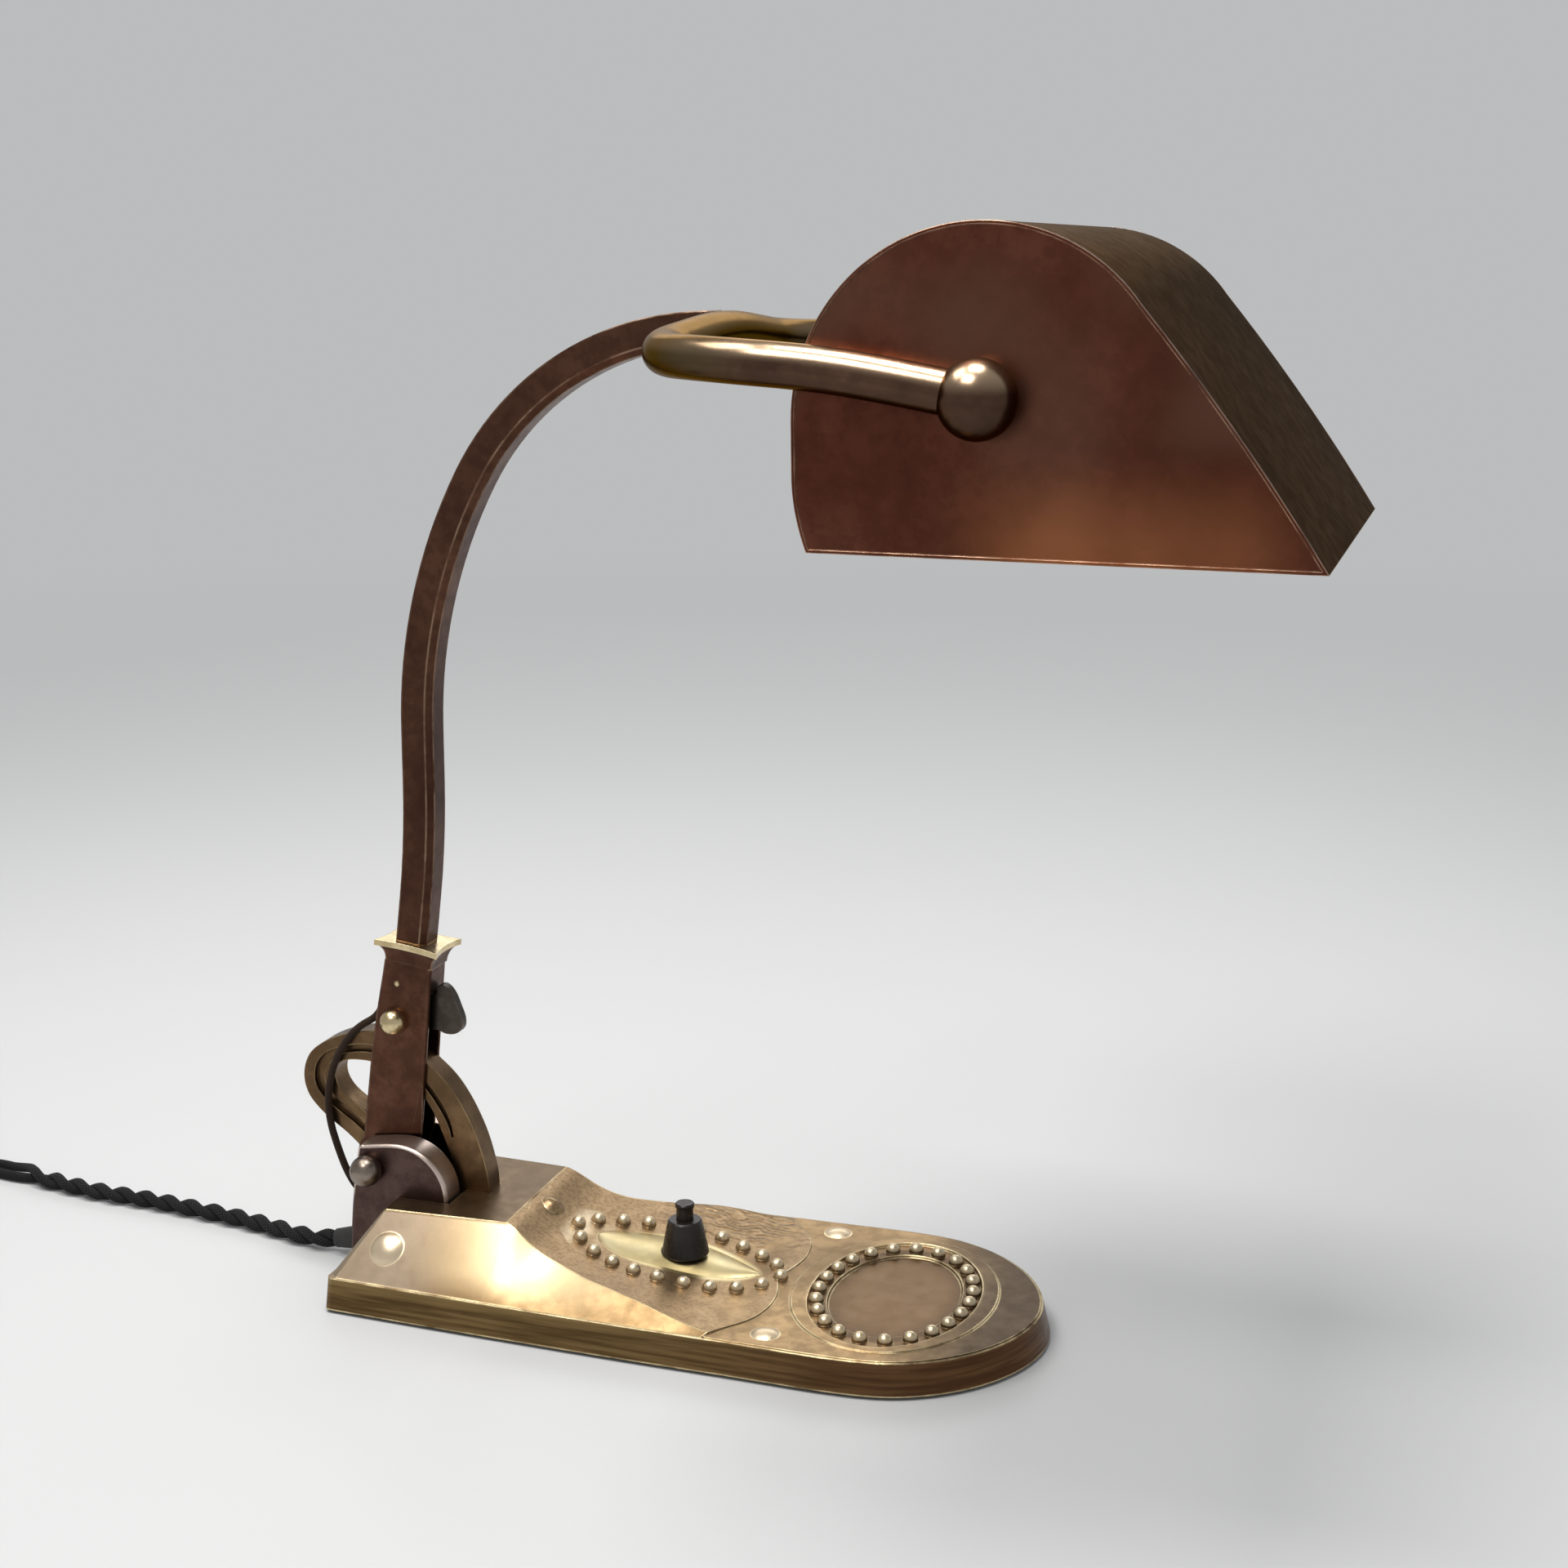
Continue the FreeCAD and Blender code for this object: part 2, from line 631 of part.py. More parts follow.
def pivot_bracket():
    """The cast bracket with two cheeks, screwed down in the foot's notch."""
    back = spline(xz([(-7.5, 1.5), (-6.8, 16.5), (-4.6, 37.5), (-1.8, 54.0)]))
    shoulder = Part.Arc(*xz([(-1.8, 54.0), (-1.0, 55.3), (0.6, 55.7)])).toShape()
    crown = spline(xz([(0.6, 55.7), (10.5, 57.2), (20.8, 57.0), (31.2, 51.0), (35.4, 44.8), (37.2, 36.5)]))
    rest = Part.makePolygon(xz([(37.2, 36.5), (38.3, NOTCH_Z), (-0.1, NOTCH_Z), (-0.1, 1.5), (-7.5, 1.5)]))
    body = plate_y([back, shoulder, crown] + rest.Edges, -CHEEK_OUT, CHEEK_OUT)
    outer = [e for e in body.Edges if e.BoundBox.YLength < 0.01 and e.BoundBox.ZMin > 35.0]
    body = body.makeFillet(CHEEK_ROUND, outer)
    body = body.cut(box(st(-20), st(60), -CHEEK_IN, CHEEK_IN, 33.0, 80))
    body = body.cut(box(st(35.8), st(60), -BAR_HALF_Y - 0.2, BAR_HALF_Y + 0.2, 0, 80))
    pocket = box(st(-1.5), st(34.0), -9.5, 9.5, 0, 15.0)
    wire_hole = rod(2.4, V(st(30), WIRE_HOLE_Y, WIRE_HOLE_Z), V(st(45), WIRE_HOLE_Y, WIRE_HOLE_Z))
    bore = rod(4.6 + FIT, bush_mouth() - bush_axis() * 12, bush_mouth() + bush_axis() * 10)
    bore = bore.common(box(st(-12), st(1.0), -20, 20, 0, 20))
    pivot = V(st(PIVOT_STATION), 0, PIVOT_Z)
    hinge = rod(PIVOT_R + FIT, pivot - V(0, 40, 0), pivot + V(0, 40, 0))
    lead_hole = rod(1.8, V(st(-8.6), LEAD_Y, LEAD_EXIT_Z), V(st(3.8), LEAD_Y, LEAD_EXIT_Z))
    lead_shaft = rod(1.8, V(st(2.0), LEAD_Y, 10), V(st(2.0), LEAD_Y, LEAD_EXIT_Z))
    lead_turn = Part.makeSphere(3.6, V(st(0.8), LEAD_Y, 26.4))
    cuts = [pocket, wire_hole, bore, hinge, lead_hole, lead_shaft, lead_turn]
    for station, y in BRACKET_SCREWS:
        cuts.append(rod(1.95 + FIT, V(st(station), y, 0), V(st(station), y, 16.5)))
    return body.cut(cuts)


PIVOT_BALL_R = 6.4
PIVOT_BALL_Y = 23.5


def pivot_bolt():
    """Hinge pin with its near ball head."""
    centre = V(st(PIVOT_STATION), -PIVOT_BALL_Y, PIVOT_Z)
    head = ball_head(centre, PIVOT_BALL_R, -CHEEK_OUT)
    shank = rod(PIVOT_R, V(centre.x, -CHEEK_OUT - 1, PIVOT_Z), V(centre.x, CHEEK_OUT + 4, PIVOT_Z))
    return head.fuse(shank)


def pivot_ball_nut():
    centre = V(st(PIVOT_STATION), PIVOT_BALL_Y, PIVOT_Z)
    nut = ball_head(centre, PIVOT_BALL_R, CHEEK_OUT)
    hole = rod(PIVOT_R + FIT, V(centre.x, CHEEK_OUT - 1, PIVOT_Z), V(centre.x, CHEEK_OUT + 4.2, PIVOT_Z))
    return nut.cut(hole)


def pivot_washers():
    x = st(PIVOT_STATION)
    near = tube(7.2, PIVOT_R + FIT, V(x, -CHEEK_IN, PIVOT_Z), V(x, -CHEEK_IN + 0.6, PIVOT_Z))
    return group([near, mirrored(near)])


def arch_bar():
    """The curved guide bar: foot, crest, scroll, and an eye on the hinge pin."""
    outer = spline(xz([(49.0, 36.0), (48.4, 43.0), (47.0, 49.5), (44.3, 58.5), (41.0, 66.2), (35.6, 75.7),
                       (29.9, 82.6), (24.8, 87.0), (17.5, 93.0), (9.0, 98.4), (0.0, 99.4), (-9.0, 98.0),
                       (-17.4, 95.2), (-24.6, 91.4), (-29.6, 87.0), (-32.4, 81.2), (-33.0, 75.2),
                       (-31.3, 69.0), (-27.0, 63.6), (-21.6, 59.0), (-16.0, 55.2), (-9.5, 49.8),
                       (-1.0, 40.6)]))
    inner = spline(xz([(5.5, 53.5), (-1.0, 59.8), (-7.3, 65.2), (-12.4, 68.8), (-16.4, 72.8),
                       (-18.4, 78.0), (-17.6, 82.4), (-14.0, 85.2), (-8.6, 86.2), (-1.0, 86.0),
                       (7.0, 83.8), (14.0, 80.0), (20.0, 74.8), (24.6, 68.6), (28.2, 61.0),
                       (31.4, 52.0), (34.4, 43.0), (36.0, 36.0)]))
    eye_chord = Part.makePolygon(xz([(-1.0, 40.6), (5.5, 53.5)]))
    foot = Part.makePolygon(xz([(36.0, 36.0), (36.0, 10.05), (49.0, 10.05), (49.0, 36.0)]))
    bar = plate_y([outer, inner] + eye_chord.Edges + foot.Edges, -BAR_HALF_Y, BAR_HALF_Y)
    groove_out = spline(xz([(34.0, 57.5), (32.4, 65.0), (29.2, 71.4), (24.6, 77.6), (18.5, 83.4),
                            (10.0, 89.4), (0.0, 93.0), (-9.0, 92.6), (-16.5, 90.6), (-22.6, 87.6),
                            (-26.6, 83.2), (-28.2, 78.0), (-27.6, 73.0), (-24.4, 68.4), (-19.0, 64.0),
                            (-13.0, 60.0), (-6.0, 54.4)]))
    groove_in = spline(xz([(-3.4, 57.4), (-9.6, 62.0), (-15.4, 66.2), (-20.2, 70.2), (-23.2, 74.0),
                           (-23.8, 78.2), (-22.4, 82.0), (-19.0, 85.8), (-14.0, 88.4), (-7.0, 89.8),
                           (0.0, 89.8), (8.6, 87.4), (16.6, 82.4), (22.8, 76.4), (27.6, 69.8),
                           (31.0, 63.8), (33.0, 57.2)]))
    joins = Part.makePolygon(xz([(-6.0, 54.4), (-3.4, 57.4)])).Edges
    joins += Part.makePolygon(xz([(33.0, 57.2), (34.0, 57.5)])).Edges
    groove = plate_y([groove_out, groove_in] + joins, BAR_HALF_Y - 2.0, BAR_HALF_Y + 2.0)
    bar = bar.cut([groove, mirrored(groove)])
    pivot = V(st(PIVOT_STATION), 0, PIVOT_Z)
    eye = rod(BAR_EYE_R, pivot - V(0, BAR_HALF_Y, 0), pivot + V(0, BAR_HALF_Y, 0))
    hole = rod(PIVOT_R + FIT, pivot - V(0, 9, 0), pivot + V(0, 9, 0))
    screw_x = st(ARCH_SCREW_STATION)
    screw_hole = rod(1.95 + FIT, V(screw_x, 0, 9), V(screw_x, 0, 22.0))
    return bar.fuse(eye).cut([hole, screw_hole])


# Upright, collar and arm

def leaned(shape):
    """Puts a shape drawn upright from the hinge at its lean."""
    shape.rotate(V(0, 0, 0), Y_AXIS, LEAN_DEG)
    shape.translate(V(st(PIVOT_STATION), 0, PIVOT_Z))
    return shape


def lean_point(u, y, w):
    """The place of a point given in the upright's own frame."""
    a = math.radians(LEAN_DEG)
    return V(st(PIVOT_STATION) + u * math.cos(a) + w * math.sin(a), y,
             PIVOT_Z - u * math.sin(a) + w * math.cos(a))


def bowed_wire(half_u, half_y, hollow, w):
    """A rectangle with hollow sides round the arm's axis, in the upright's frame."""
    corners = [V(COLLAR_U - half_u, -half_y, w), V(COLLAR_U + half_u, -half_y, w),
               V(COLLAR_U + half_u, half_y, w), V(COLLAR_U - half_u, half_y, w)]
    centre = V(COLLAR_U, 0, w)
    edges = []
    for start, end in zip(corners, corners[1:] + corners[:1]):
        middle = (start + end) * 0.5
        inward = V(centre - middle).normalize()
        edges.append(Part.Arc(start, middle + inward * hollow, end).toShape())
    return Part.Wire(edges)


def tenon_block(w0, w1, grow):
    """The arm's tenon, which goes through the collar into the upright, in the upright's frame."""
    half_u = TENON_HALF[0] + grow
    half_y = TENON_HALF[1] + grow
    return box(COLLAR_U - half_u, COLLAR_U + half_u, -half_y, half_y, w0, w1)


HEEL_R = 12.0
STOP_PIN_U = -1.1
STOP_PIN_W = 75.2


def post():
    """The hollow upright with its slot, round heel and flared top."""
    side = [V(-10.0, 0, 6.6), V(-9.8, 0, 42.0), V(-9.1, 0, 60.0), V(-7.7, 0, 79.0), V(-7.4, 0, POST_TOP_W),
            V(12.9, 0, POST_TOP_W), V(12.95, 0, 83.0), V(14.0, 0, 48.0), V(15.1, 0, 13.0), V(11.3, 0, -4.0)]
    heel = Part.Arc(side[-1], V(0, 0, -HEEL_R), side[0]).toShape()
    outline = Part.Wire(Part.makePolygon(side).Edges + [heel])
    body = Part.Face(outline).extrude(V(0, 2 * POST_HALF_Y, 0))
    body.translate(V(0, -POST_HALF_Y, 0))
    front_edges = [e for e in body.Edges
                   if abs(abs(e.CenterOfMass.y) - POST_HALF_Y) < 0.01 and 13.1 < e.CenterOfMass.x < 15.0]
    body = body.makeFillet(1.5, front_edges)
    flare = [bowed_wire(10.15, POST_HALF_Y, 0.05, POST_TOP_W - 0.4), bowed_wire(10.5, 7.4, 0.3, 87.0),
             bowed_wire(11.4, 8.4, 0.9, 89.2), bowed_wire(12.8, 10.0, 1.5, COLLAR_W)]
    body = body.fuse(Part.makeLoft(flare, True, False))
    slot = box(-30, 30, -SLOT_HALF_Y, SLOT_HALF_Y, -30, SLOT_TOP_W)
    hinge = rod(PIVOT_R + RUN_FIT, V(0, -20, 0), V(0, 20, 0))
    root = tenon_block(ARM_START_W - 0.1, 100, FIT)
    bore = rod(ARM_BORE_R, V(COLLAR_U, 0, SLOT_TOP_W - 1), V(COLLAR_U, 0, ARM_START_W + 1))
    stop = rod(0.9 + FIT, V(STOP_PIN_U, -20, STOP_PIN_W), V(STOP_PIN_U, 20, STOP_PIN_W))
    facet_top = Part.makePolygon([V(13.9, -7.2, 47), V(14.3, -6.9, 47), V(14.4, -7.3, 47), V(13.9, -7.2, 47)])
    facet_low = Part.makePolygon([V(9.5, -7.2, 2), V(15.6, -5.6, 2), V(16.0, -8.0, 2), V(9.5, -7.2, 2)])
    facet = Part.makeLoft([facet_top, facet_low], True, True)
    body = leaned(body.cut([slot, hinge, root, bore, stop, facet, mirrored(facet)]))
    pin = V(st(LATCH_STATION), 0, LATCH_Z)
    return body.cut(rod(LATCH_PIN_R + FIT, pin - V(0, 20, 0), pin + V(0, 20, 0)))


def post_collar():
    """The bright square collar with hollow sides, on top of the upright."""
    wire = bowed_wire(COLLAR_HALF[0], COLLAR_HALF[1], COLLAR_HOLLOW, COLLAR_W)
    plate = Part.Face(wire).extrude(V(0, 0, COLLAR_T))
    return leaned(plate.cut(tenon_block(COLLAR_W - 1, COLLAR_W + 10, FIT)))


def swung(centre, spoke, angle):
    """The end of a spoke turned about Y round a centre."""
    return centre + V(spoke.x * math.cos(angle) + spoke.z * math.sin(angle), 0,
                      -spoke.x * math.sin(angle) + spoke.z * math.cos(angle))


def arm_path():
    """The arm's middle line: edges from inside the upright to the fork."""
    heading = math.radians(LEAN_DEG)
    here = lean_point(COLLAR_U, 0, ARM_START_W)
    edges = []
    moves = [(None, ARM_STRAIGHT_1), ARM_BEND_BACK, (None, ARM_STRAIGHT_2), ARM_BEND_1, ARM_BEND_2,
             (None, ARM_STRAIGHT_3)]
    for radius, amount in moves:
        if radius is None:
            end = here + V(math.sin(heading), 0, math.cos(heading)) * amount
            edges.append(Part.LineSegment(here, end).toShape())
        else:
            turn = math.radians(amount)
            side = V(math.cos(heading), 0, -math.sin(heading)) * math.copysign(radius, turn)
            centre = here + side
            spoke = here - centre
            end = swung(centre, spoke, turn)
            edges.append(Part.Arc(here, swung(centre, spoke, turn / 2), end).toShape())
            heading += turn
        here = end
    return edges


def arm():
    """The square swan-neck arm, chamfered on its inner side, bored for the lead and stepped to its tenon."""
    half = ARM_T / 2
    c = ARM_CHAMFER
    outline = [V(-half, -ARM_HALF_Y, ARM_START_W), V(half - c, -ARM_HALF_Y, ARM_START_W),
               V(half, -ARM_HALF_Y + c, ARM_START_W), V(half, ARM_HALF_Y - c, ARM_START_W),
               V(half - c, ARM_HALF_Y, ARM_START_W), V(-half, ARM_HALF_Y, ARM_START_W)]
    outline = [p + V(COLLAR_U, 0, 0) for p in outline]
    section = leaned(Part.makePolygon(outline + [outline[0]]))
    body = Part.Wire(arm_path()).makePipeShell([section], True, False)
    bore = swept(arm_path(), ARM_BORE_R)
    saddle = swept(biarc_path(fork_knots()), FORK_R + FIT)
    shoulder_w = COLLAR_W + COLLAR_T + FIT
    sleeve = box(COLLAR_U - 10, COLLAR_U + 10, -10, 10, ARM_START_W - 1, shoulder_w)
    step = leaned(sleeve.cut(tenon_block(ARM_START_W - 2, shoulder_w + 1, 0)))
    return body.cut([bore, saddle, step])


def stop_pin():
    return rod(0.9, lean_point(STOP_PIN_U, -POST_HALF_Y - 0.25, STOP_PIN_W),
               lean_point(STOP_PIN_U, POST_HALF_Y, STOP_PIN_W))


# Latch

LATCH_BALL_R = 5.3


def latch_pin():
    """Latch pin with its bright ball head on the near side."""
    centre = V(st(LATCH_STATION), -9.0, LATCH_Z)
    head = ball_head(centre, LATCH_BALL_R, -POST_HALF_Y)
    return head.fuse(rod(LATCH_PIN_R, V(centre.x, -POST_HALF_Y - 1, LATCH_Z), V(centre.x, 9.0, LATCH_Z)))


def latch_pin_nut():
    base = V(st(LATCH_STATION), POST_HALF_Y, LATCH_Z)
    nut = turned([(0, 0), (0, 4.2), (1.6, 4.2), (2.8, 3.2), (3.3, 1.6), (3.4, 0)], base, Y_AXIS)
    return nut.cut(rod(LATCH_PIN_R + FIT, base - V(0, 1, 0), base + V(0, 2.0, 0)))


LATCH_SPRING_STATION = 7.2
LATCH_SHOULDER_Z = 110.4
LATCH_SPRING_TOP = 119.2


def latch_lever():
    """Latch lever with its thumb tab in front and its nose on the guide bar's crest."""
    pin = V(st(LATCH_STATION), 0, LATCH_Z)
    hub = rod(4.6, pin - V(0, 5.1, 0), pin + V(0, 5.1, 0))
    tab = spline(xz([(27.4, 119.6), (30.6, 120.6), (34.2, 117.2), (36.6, 111.5), (38.2, 105.8),
                     (37.4, 102.4), (33.6, 100.4), (28.0, 101.6)]))
    nose = Part.makePolygon(xz([(28.0, 101.6), (14.0, 101.2), (8.2, 100.2), (5.4, 99.95), (4.2, 101.2),
                                (5.0, 104.0), (4.0, 106.0), (4.0, LATCH_SHOULDER_Z),
                                (11.6, LATCH_SHOULDER_Z), (18.0, 113.0), (24.4, 115.6),
                                (27.2, 117.0), (27.4, 119.6)]))
    plate = plate_y([tab] + nose.Edges, -LEVER_HALF_Y, LEVER_HALF_Y)
    return plate.fuse(hub).cut(rod(LATCH_PIN_R + RUN_FIT, pin - V(0, 9, 0), pin + V(0, 9, 0)))


def latch_spring():
    """Coil spring between the lever's shoulder and the top of the slot."""
    base = V(st(LATCH_SPRING_STATION), 0, LATCH_SHOULDER_Z + 0.5)
    return coil_spring(base, 1.5, LATCH_SPRING_TOP - base.z, 5.0, 0.35)


# Fork

def fork_knots():
    """The fork's middle line from the near ball round the cross-bar to the far ball."""
    leg = V(st(TILT_STATION - 5.5), -FORK_LEG_Y, TILT_Z + 1.3)
    leg_rear = V(st(FORK_BAR_STATION + FORK_BEND_R), -FORK_LEG_Y, 371.2)
    bar_side = V(st(FORK_BAR_STATION - 0.3), -FORK_LEG_Y + FORK_BEND_R, 374.8)
    middle = V(st(FORK_BAR_STATION), 0, FORK_BAR_Z)
    near = [(leg, V(-1, 0, 0.19)), (leg_rear, V(-1, 0, 0.07)), (bar_side, V(0, 1, 0.085))]
    far = [(V(p.x, -p.y, p.z), V(-t.x, t.y, -t.z)) for p, t in reversed(near)]
    return near + [(middle, V(0, 1, 0))] + far


def fork_yoke():
    """The bent tube of the fork, brazed to the arm's end."""
    edges = biarc_path(fork_knots())
    yoke = swept(edges, FORK_R).cut(swept(edges, FORK_BORE_R))
    bar = V(st(FORK_BAR_STATION), 0, FORK_BAR_Z)
    return yoke.cut(rod(ARM_BORE_R, bar - V(12, 0, 0), bar))


BALL_FLAT_Y = 97.9


def fork_ball():
    """Near ball end: flat towards the shade, with a socket for the leg and a hole for the stud."""
    centre = V(st(TILT_STATION), -FORK_LEG_Y, TILT_Z)
    ball = ball_head(centre, BALL_R, -BALL_FLAT_Y)
    leg = swept(biarc_path(fork_knots()[:2]), FORK_R + FIT)
    stud = rod(STUD_R + FIT, V(centre.x, -BALL_FLAT_Y - 9, TILT_Z), V(centre.x, -BALL_FLAT_Y + 2, TILT_Z))
    return ball.cut([leg, stud])


def shade_stud():
    """Near stud on which the shade tilts, bored for the lead."""
    x = st(TILT_STATION)
    return tube(STUD_R, 1.7, V(x, -BALL_FLAT_Y - 8.8, TILT_Z), V(x, -90.2, TILT_Z))


def tilt_washers():
    """Near pair of washers, one outside and one inside the cap."""
    x = st(TILT_STATION)
    outside = tube(8.0, STUD_R + FIT, V(x, -97.8, TILT_Z), V(x, -SHADE_HALF_Y - 0.25, TILT_Z))
    inside = tube(7.0, STUD_R + FIT, V(x, -SHADE_HALF_Y + SHADE_T + 0.25, TILT_Z), V(x, -94.6, TILT_Z))
    return [outside, inside]


def tilt_nut():
    base = V(st(TILT_STATION), -94.5, TILT_Z)
    return hexagon(10.0, 3.6, base, Y_AXIS).cut(rod(STUD_R + FIT, base - V(0, 1, 0), base + V(0, 9, 0)))


# Shade

def shade_edges():
    """The shade's open outline, from the rear edge over the top to the front edge."""
    centre_a, centre_z = SHADE_CENTRE
    t = math.radians(SHADE_TANGENT_DEG)
    top_front = (centre_a + SHADE_R * math.cos(t), centre_z + SHADE_R * math.sin(t))
    rear_low = (centre_a - SHADE_R, centre_z)
    half = ((top_front[0] + SHADE_FRONT[0]) / 2, (top_front[1] + SHADE_FRONT[1]) / 2)
    run = math.hypot(SHADE_FRONT[0] - top_front[0], SHADE_FRONT[1] - top_front[1])
    across = ((top_front[1] - SHADE_FRONT[1]) / run, (SHADE_FRONT[0] - top_front[0]) / run)
    bulge = (half[0] + across[0] * SHADE_FRONT_BULGE, half[1] + across[1] * SHADE_FRONT_BULGE)
    curl = Part.Arc(*xz([SHADE_REAR, SHADE_REAR_TURN, SHADE_REAR_TOP])).toShape()
    back = Part.LineSegment(*xz([SHADE_REAR_TOP, rear_low])).toShape()
    round_top = Part.Arc(*xz([rear_low, (centre_a, centre_z + SHADE_R), top_front])).toShape()
    front = Part.Arc(*xz([top_front, bulge, SHADE_FRONT])).toShape()
    return [curl, back, round_top, front]


def shade_face(inset):
    """The cap's outline as a face, drawn in by inset."""
    bottom = Part.LineSegment(*xz([SHADE_FRONT, SHADE_REAR])).toShape()
    wire = Part.Wire(shade_edges() + [bottom])
    if inset:
        wire = wire.makeOffset2D(-inset)
    return Part.Face(wire)


def shade_sheet():
    """The rolled sheet between the two caps, open below."""
    half_y = SHADE_HALF_Y - SHADE_T
    outer = shade_face(0).extrude(V(0, 2 * half_y, 0))
    inner = shade_face(SHADE_T).extrude(V(0, 2 * half_y + 2, 0))
    outer.translate(V(0, -half_y, 0))
    inner.translate(V(0, -half_y - 1, 0))
    rear = (SHADE_REAR[0] + 1.0, SHADE_REAR[1])
    front = (SHADE_FRONT[0] - 1.6, SHADE_FRONT[1])
    above = SHADE_T + 0.3
    corners = xz([(rear[0], rear[1] - 5), (front[0], front[1] - 5), (front[0], front[1] + above),
                  (rear[0], rear[1] + above)])
    mouth = plate_y(Part.makePolygon(corners + [corners[0]]).Edges, -half_y - 1, half_y + 1)
    return outer.cut([inner, mouth])


def shade_cap():
    """Near end cap, a flat plate with a thin raised rim outside."""
    plate = shade_face(0).extrude(V(0, SHADE_T, 0))
    plate.translate(V(0, -SHADE_HALF_Y, 0))
    rim = shade_face(0).cut(shade_face(RIM_W)).extrude(V(0, RIM_PROUD + 0.2, 0))
    rim.translate(V(0, -SHADE_HALF_Y - RIM_PROUD, 0))
    x = st(TILT_STATION)
    return plate.fuse(rim).cut(rod(STUD_R + 0.06, V(x, -100, TILT_Z), V(x, -90, TILT_Z)))


def lamp_point(y):
    """A point on the bulb's axis."""
    return V(st(LAMP_STATION), y, LAMP_Z)


STRAP_RIVETS = [(252.0, 323.0), (272.0, 323.0)]
STRAP_Y = 84.0
STRAP_T = 1.2


def socket_strap():
    """Bent strap riveted to the far cap, with an upright plate for the lampholder."""
    a0 = LAMP_STATION - 16.0
    a1 = LAMP_STATION + 16.0
    cap_inner = SHADE_HALF_Y - SHADE_T
    on_cap = box(st(a0), st(a1), cap_inner - STRAP_T, cap_inner, 316.5, 329.5)
    shelf = box(st(a0), st(a1), STRAP_Y, cap_inner, 328.3, 329.5)
    front = box(st(a0), st(a1), STRAP_Y - STRAP_T, STRAP_Y, 328.3, LAMP_Z + 12)
    hole = rod(5.1, lamp_point(STRAP_Y - 5), lamp_point(STRAP_Y + 5))
    body = on_cap.fuse([shelf, front]).cut(hole)
    for station, z in STRAP_RIVETS:
        body = body.cut(rod(1.52, V(st(station), 90, z), V(st(station), 99, z)))
    return body


def shade_cap_far():
    cap = mirrored(shade_cap())
    for station, z in STRAP_RIVETS:
        cap = cap.cut(rod(1.52, V(st(station), 90, z), V(st(station), 99, z)))
    return cap


def strap_rivets():
    rivets = []
    cap_inner = SHADE_HALF_Y - SHADE_T
    for station, z in STRAP_RIVETS:
        base = V(st(station), cap_inner - 2.4, z)
        rivets.append(turned([(0, 0), (0.2, 1.8), (1.2, 2.6), (1.2, 1.5), (3.2, 1.5), (3.2, 2.6),
                              (4.0, 1.8), (4.2, 0)], base, Y_AXIS))
    return group(rivets)


def lampholder():
    """Brass lampholder shell on a hollow nipple, with the strap clamped behind it."""
    front = STRAP_Y - STRAP_T
    shell = turned([(0, 2.6), (0, 9.0), (3.0, 16.5), (12.0, 17.5), (34.0, 17.5), (34.0, 15.2),
                    (8.0, 15.2), (5.0, 5.0), (5.0, 2.6)], lamp_point(front), V(0, -1, 0))
    return shell.fuse(tube(5.0, 2.6, lamp_point(front), lamp_point(STRAP_Y + 4)))


def holder_nut():
    base = lamp_point(STRAP_Y + 0.05)
    return hexagon(14.0, 2.6, base, Y_AXIS).cut(rod(5.0 + FIT, base - V(0, 1, 0), base + V(0, 9, 0)))


def holder_insulator():
    """The moulded contact block inside the lampholder."""
    front = STRAP_Y - STRAP_T
    block = rod(15.1, lamp_point(front - 16), lamp_point(front - 8.5))
    return block.cut(rod(1.2, lamp_point(front - 20), lamp_point(front - 5)))


def bulb_cap():
    return turned([(17.0, 0), (17.0, 4.0), (19.0, 13.0), (38.0, 13.4), (41.0, 15.0), (41.0, 0)],
                  lamp_point(STRAP_Y - STRAP_T), V(0, -1, 0))


def bulb_glass():
    """Pear-shaped glass bulb, a thin shell."""
    start = lamp_point(STRAP_Y - STRAP_T - 41.05)
    outside = [(0, 0), (0, 14.6), (8.0, 16.0), (20.0, 20.5), (31.0, 23.5), (41.0, 23.8), (50.0, 21.0),
               (57.0, 15.0), (61.0, 7.0), (62.0, 0)]
    inside = [(1.0, 0), (1.0, 13.6), (8.3, 15.0), (20.3, 19.5), (31.0, 22.5), (40.8, 22.8), (49.4, 20.2),
              (56.2, 14.4), (60.0, 6.6), (60.9, 0)]
    shell = []
    for profile in (outside, inside):
        points = [V(r, 0, h) for h, r in profile]
        edges = [spline(points[1:]), Part.LineSegment(points[-1], points[0]).toShape(),
                 Part.LineSegment(points[0], points[1]).toShape()]
        face = Part.Face(Part.Wire(Part.__sortEdges__(edges)))
        solid = face.revolve(V(0, 0, 0), Z_AXIS, 360)
        solid.Placement = FreeCAD.Placement(start, FreeCAD.Rotation(Z_AXIS, V(0, -1, 0)))
        shell.append(solid)
    return shell[0].cut(shell[1])


# Switch

def switch_axis(z):
    """A point on the switch's upright axis."""
    return V(st(SWITCH_STATION), 0, z)


def switch_body():
    profile = [(3.2, 0), (3.2, 9.0), (4.2, 10.0), (12.0, 10.0), (12.0, 6.5), (22.0, 6.5), (22.0, 2.4),
               (14.0, 2.4), (14.0, 0)]
    return turned(profile, switch_axis(0), Z_AXIS)


def switch_cone():
    profile = [(CONE_Z0, 6.5 + FIT), (CONE_Z0, CONE_R0 - 0.4), (CONE_Z0 + 0.5, CONE_R0),
               (CONE_Z1 - 0.6, CONE_R1 + 0.1), (CONE_Z1, CONE_R1 - 0.6), (CONE_Z1, BUTTON_R + RUN_FIT),
               (30.5, BUTTON_R + RUN_FIT), (30.5, 5.2), (22.3, 5.2), (22.3, 6.5 + FIT)]
    return turned(profile, switch_axis(0), Z_AXIS)


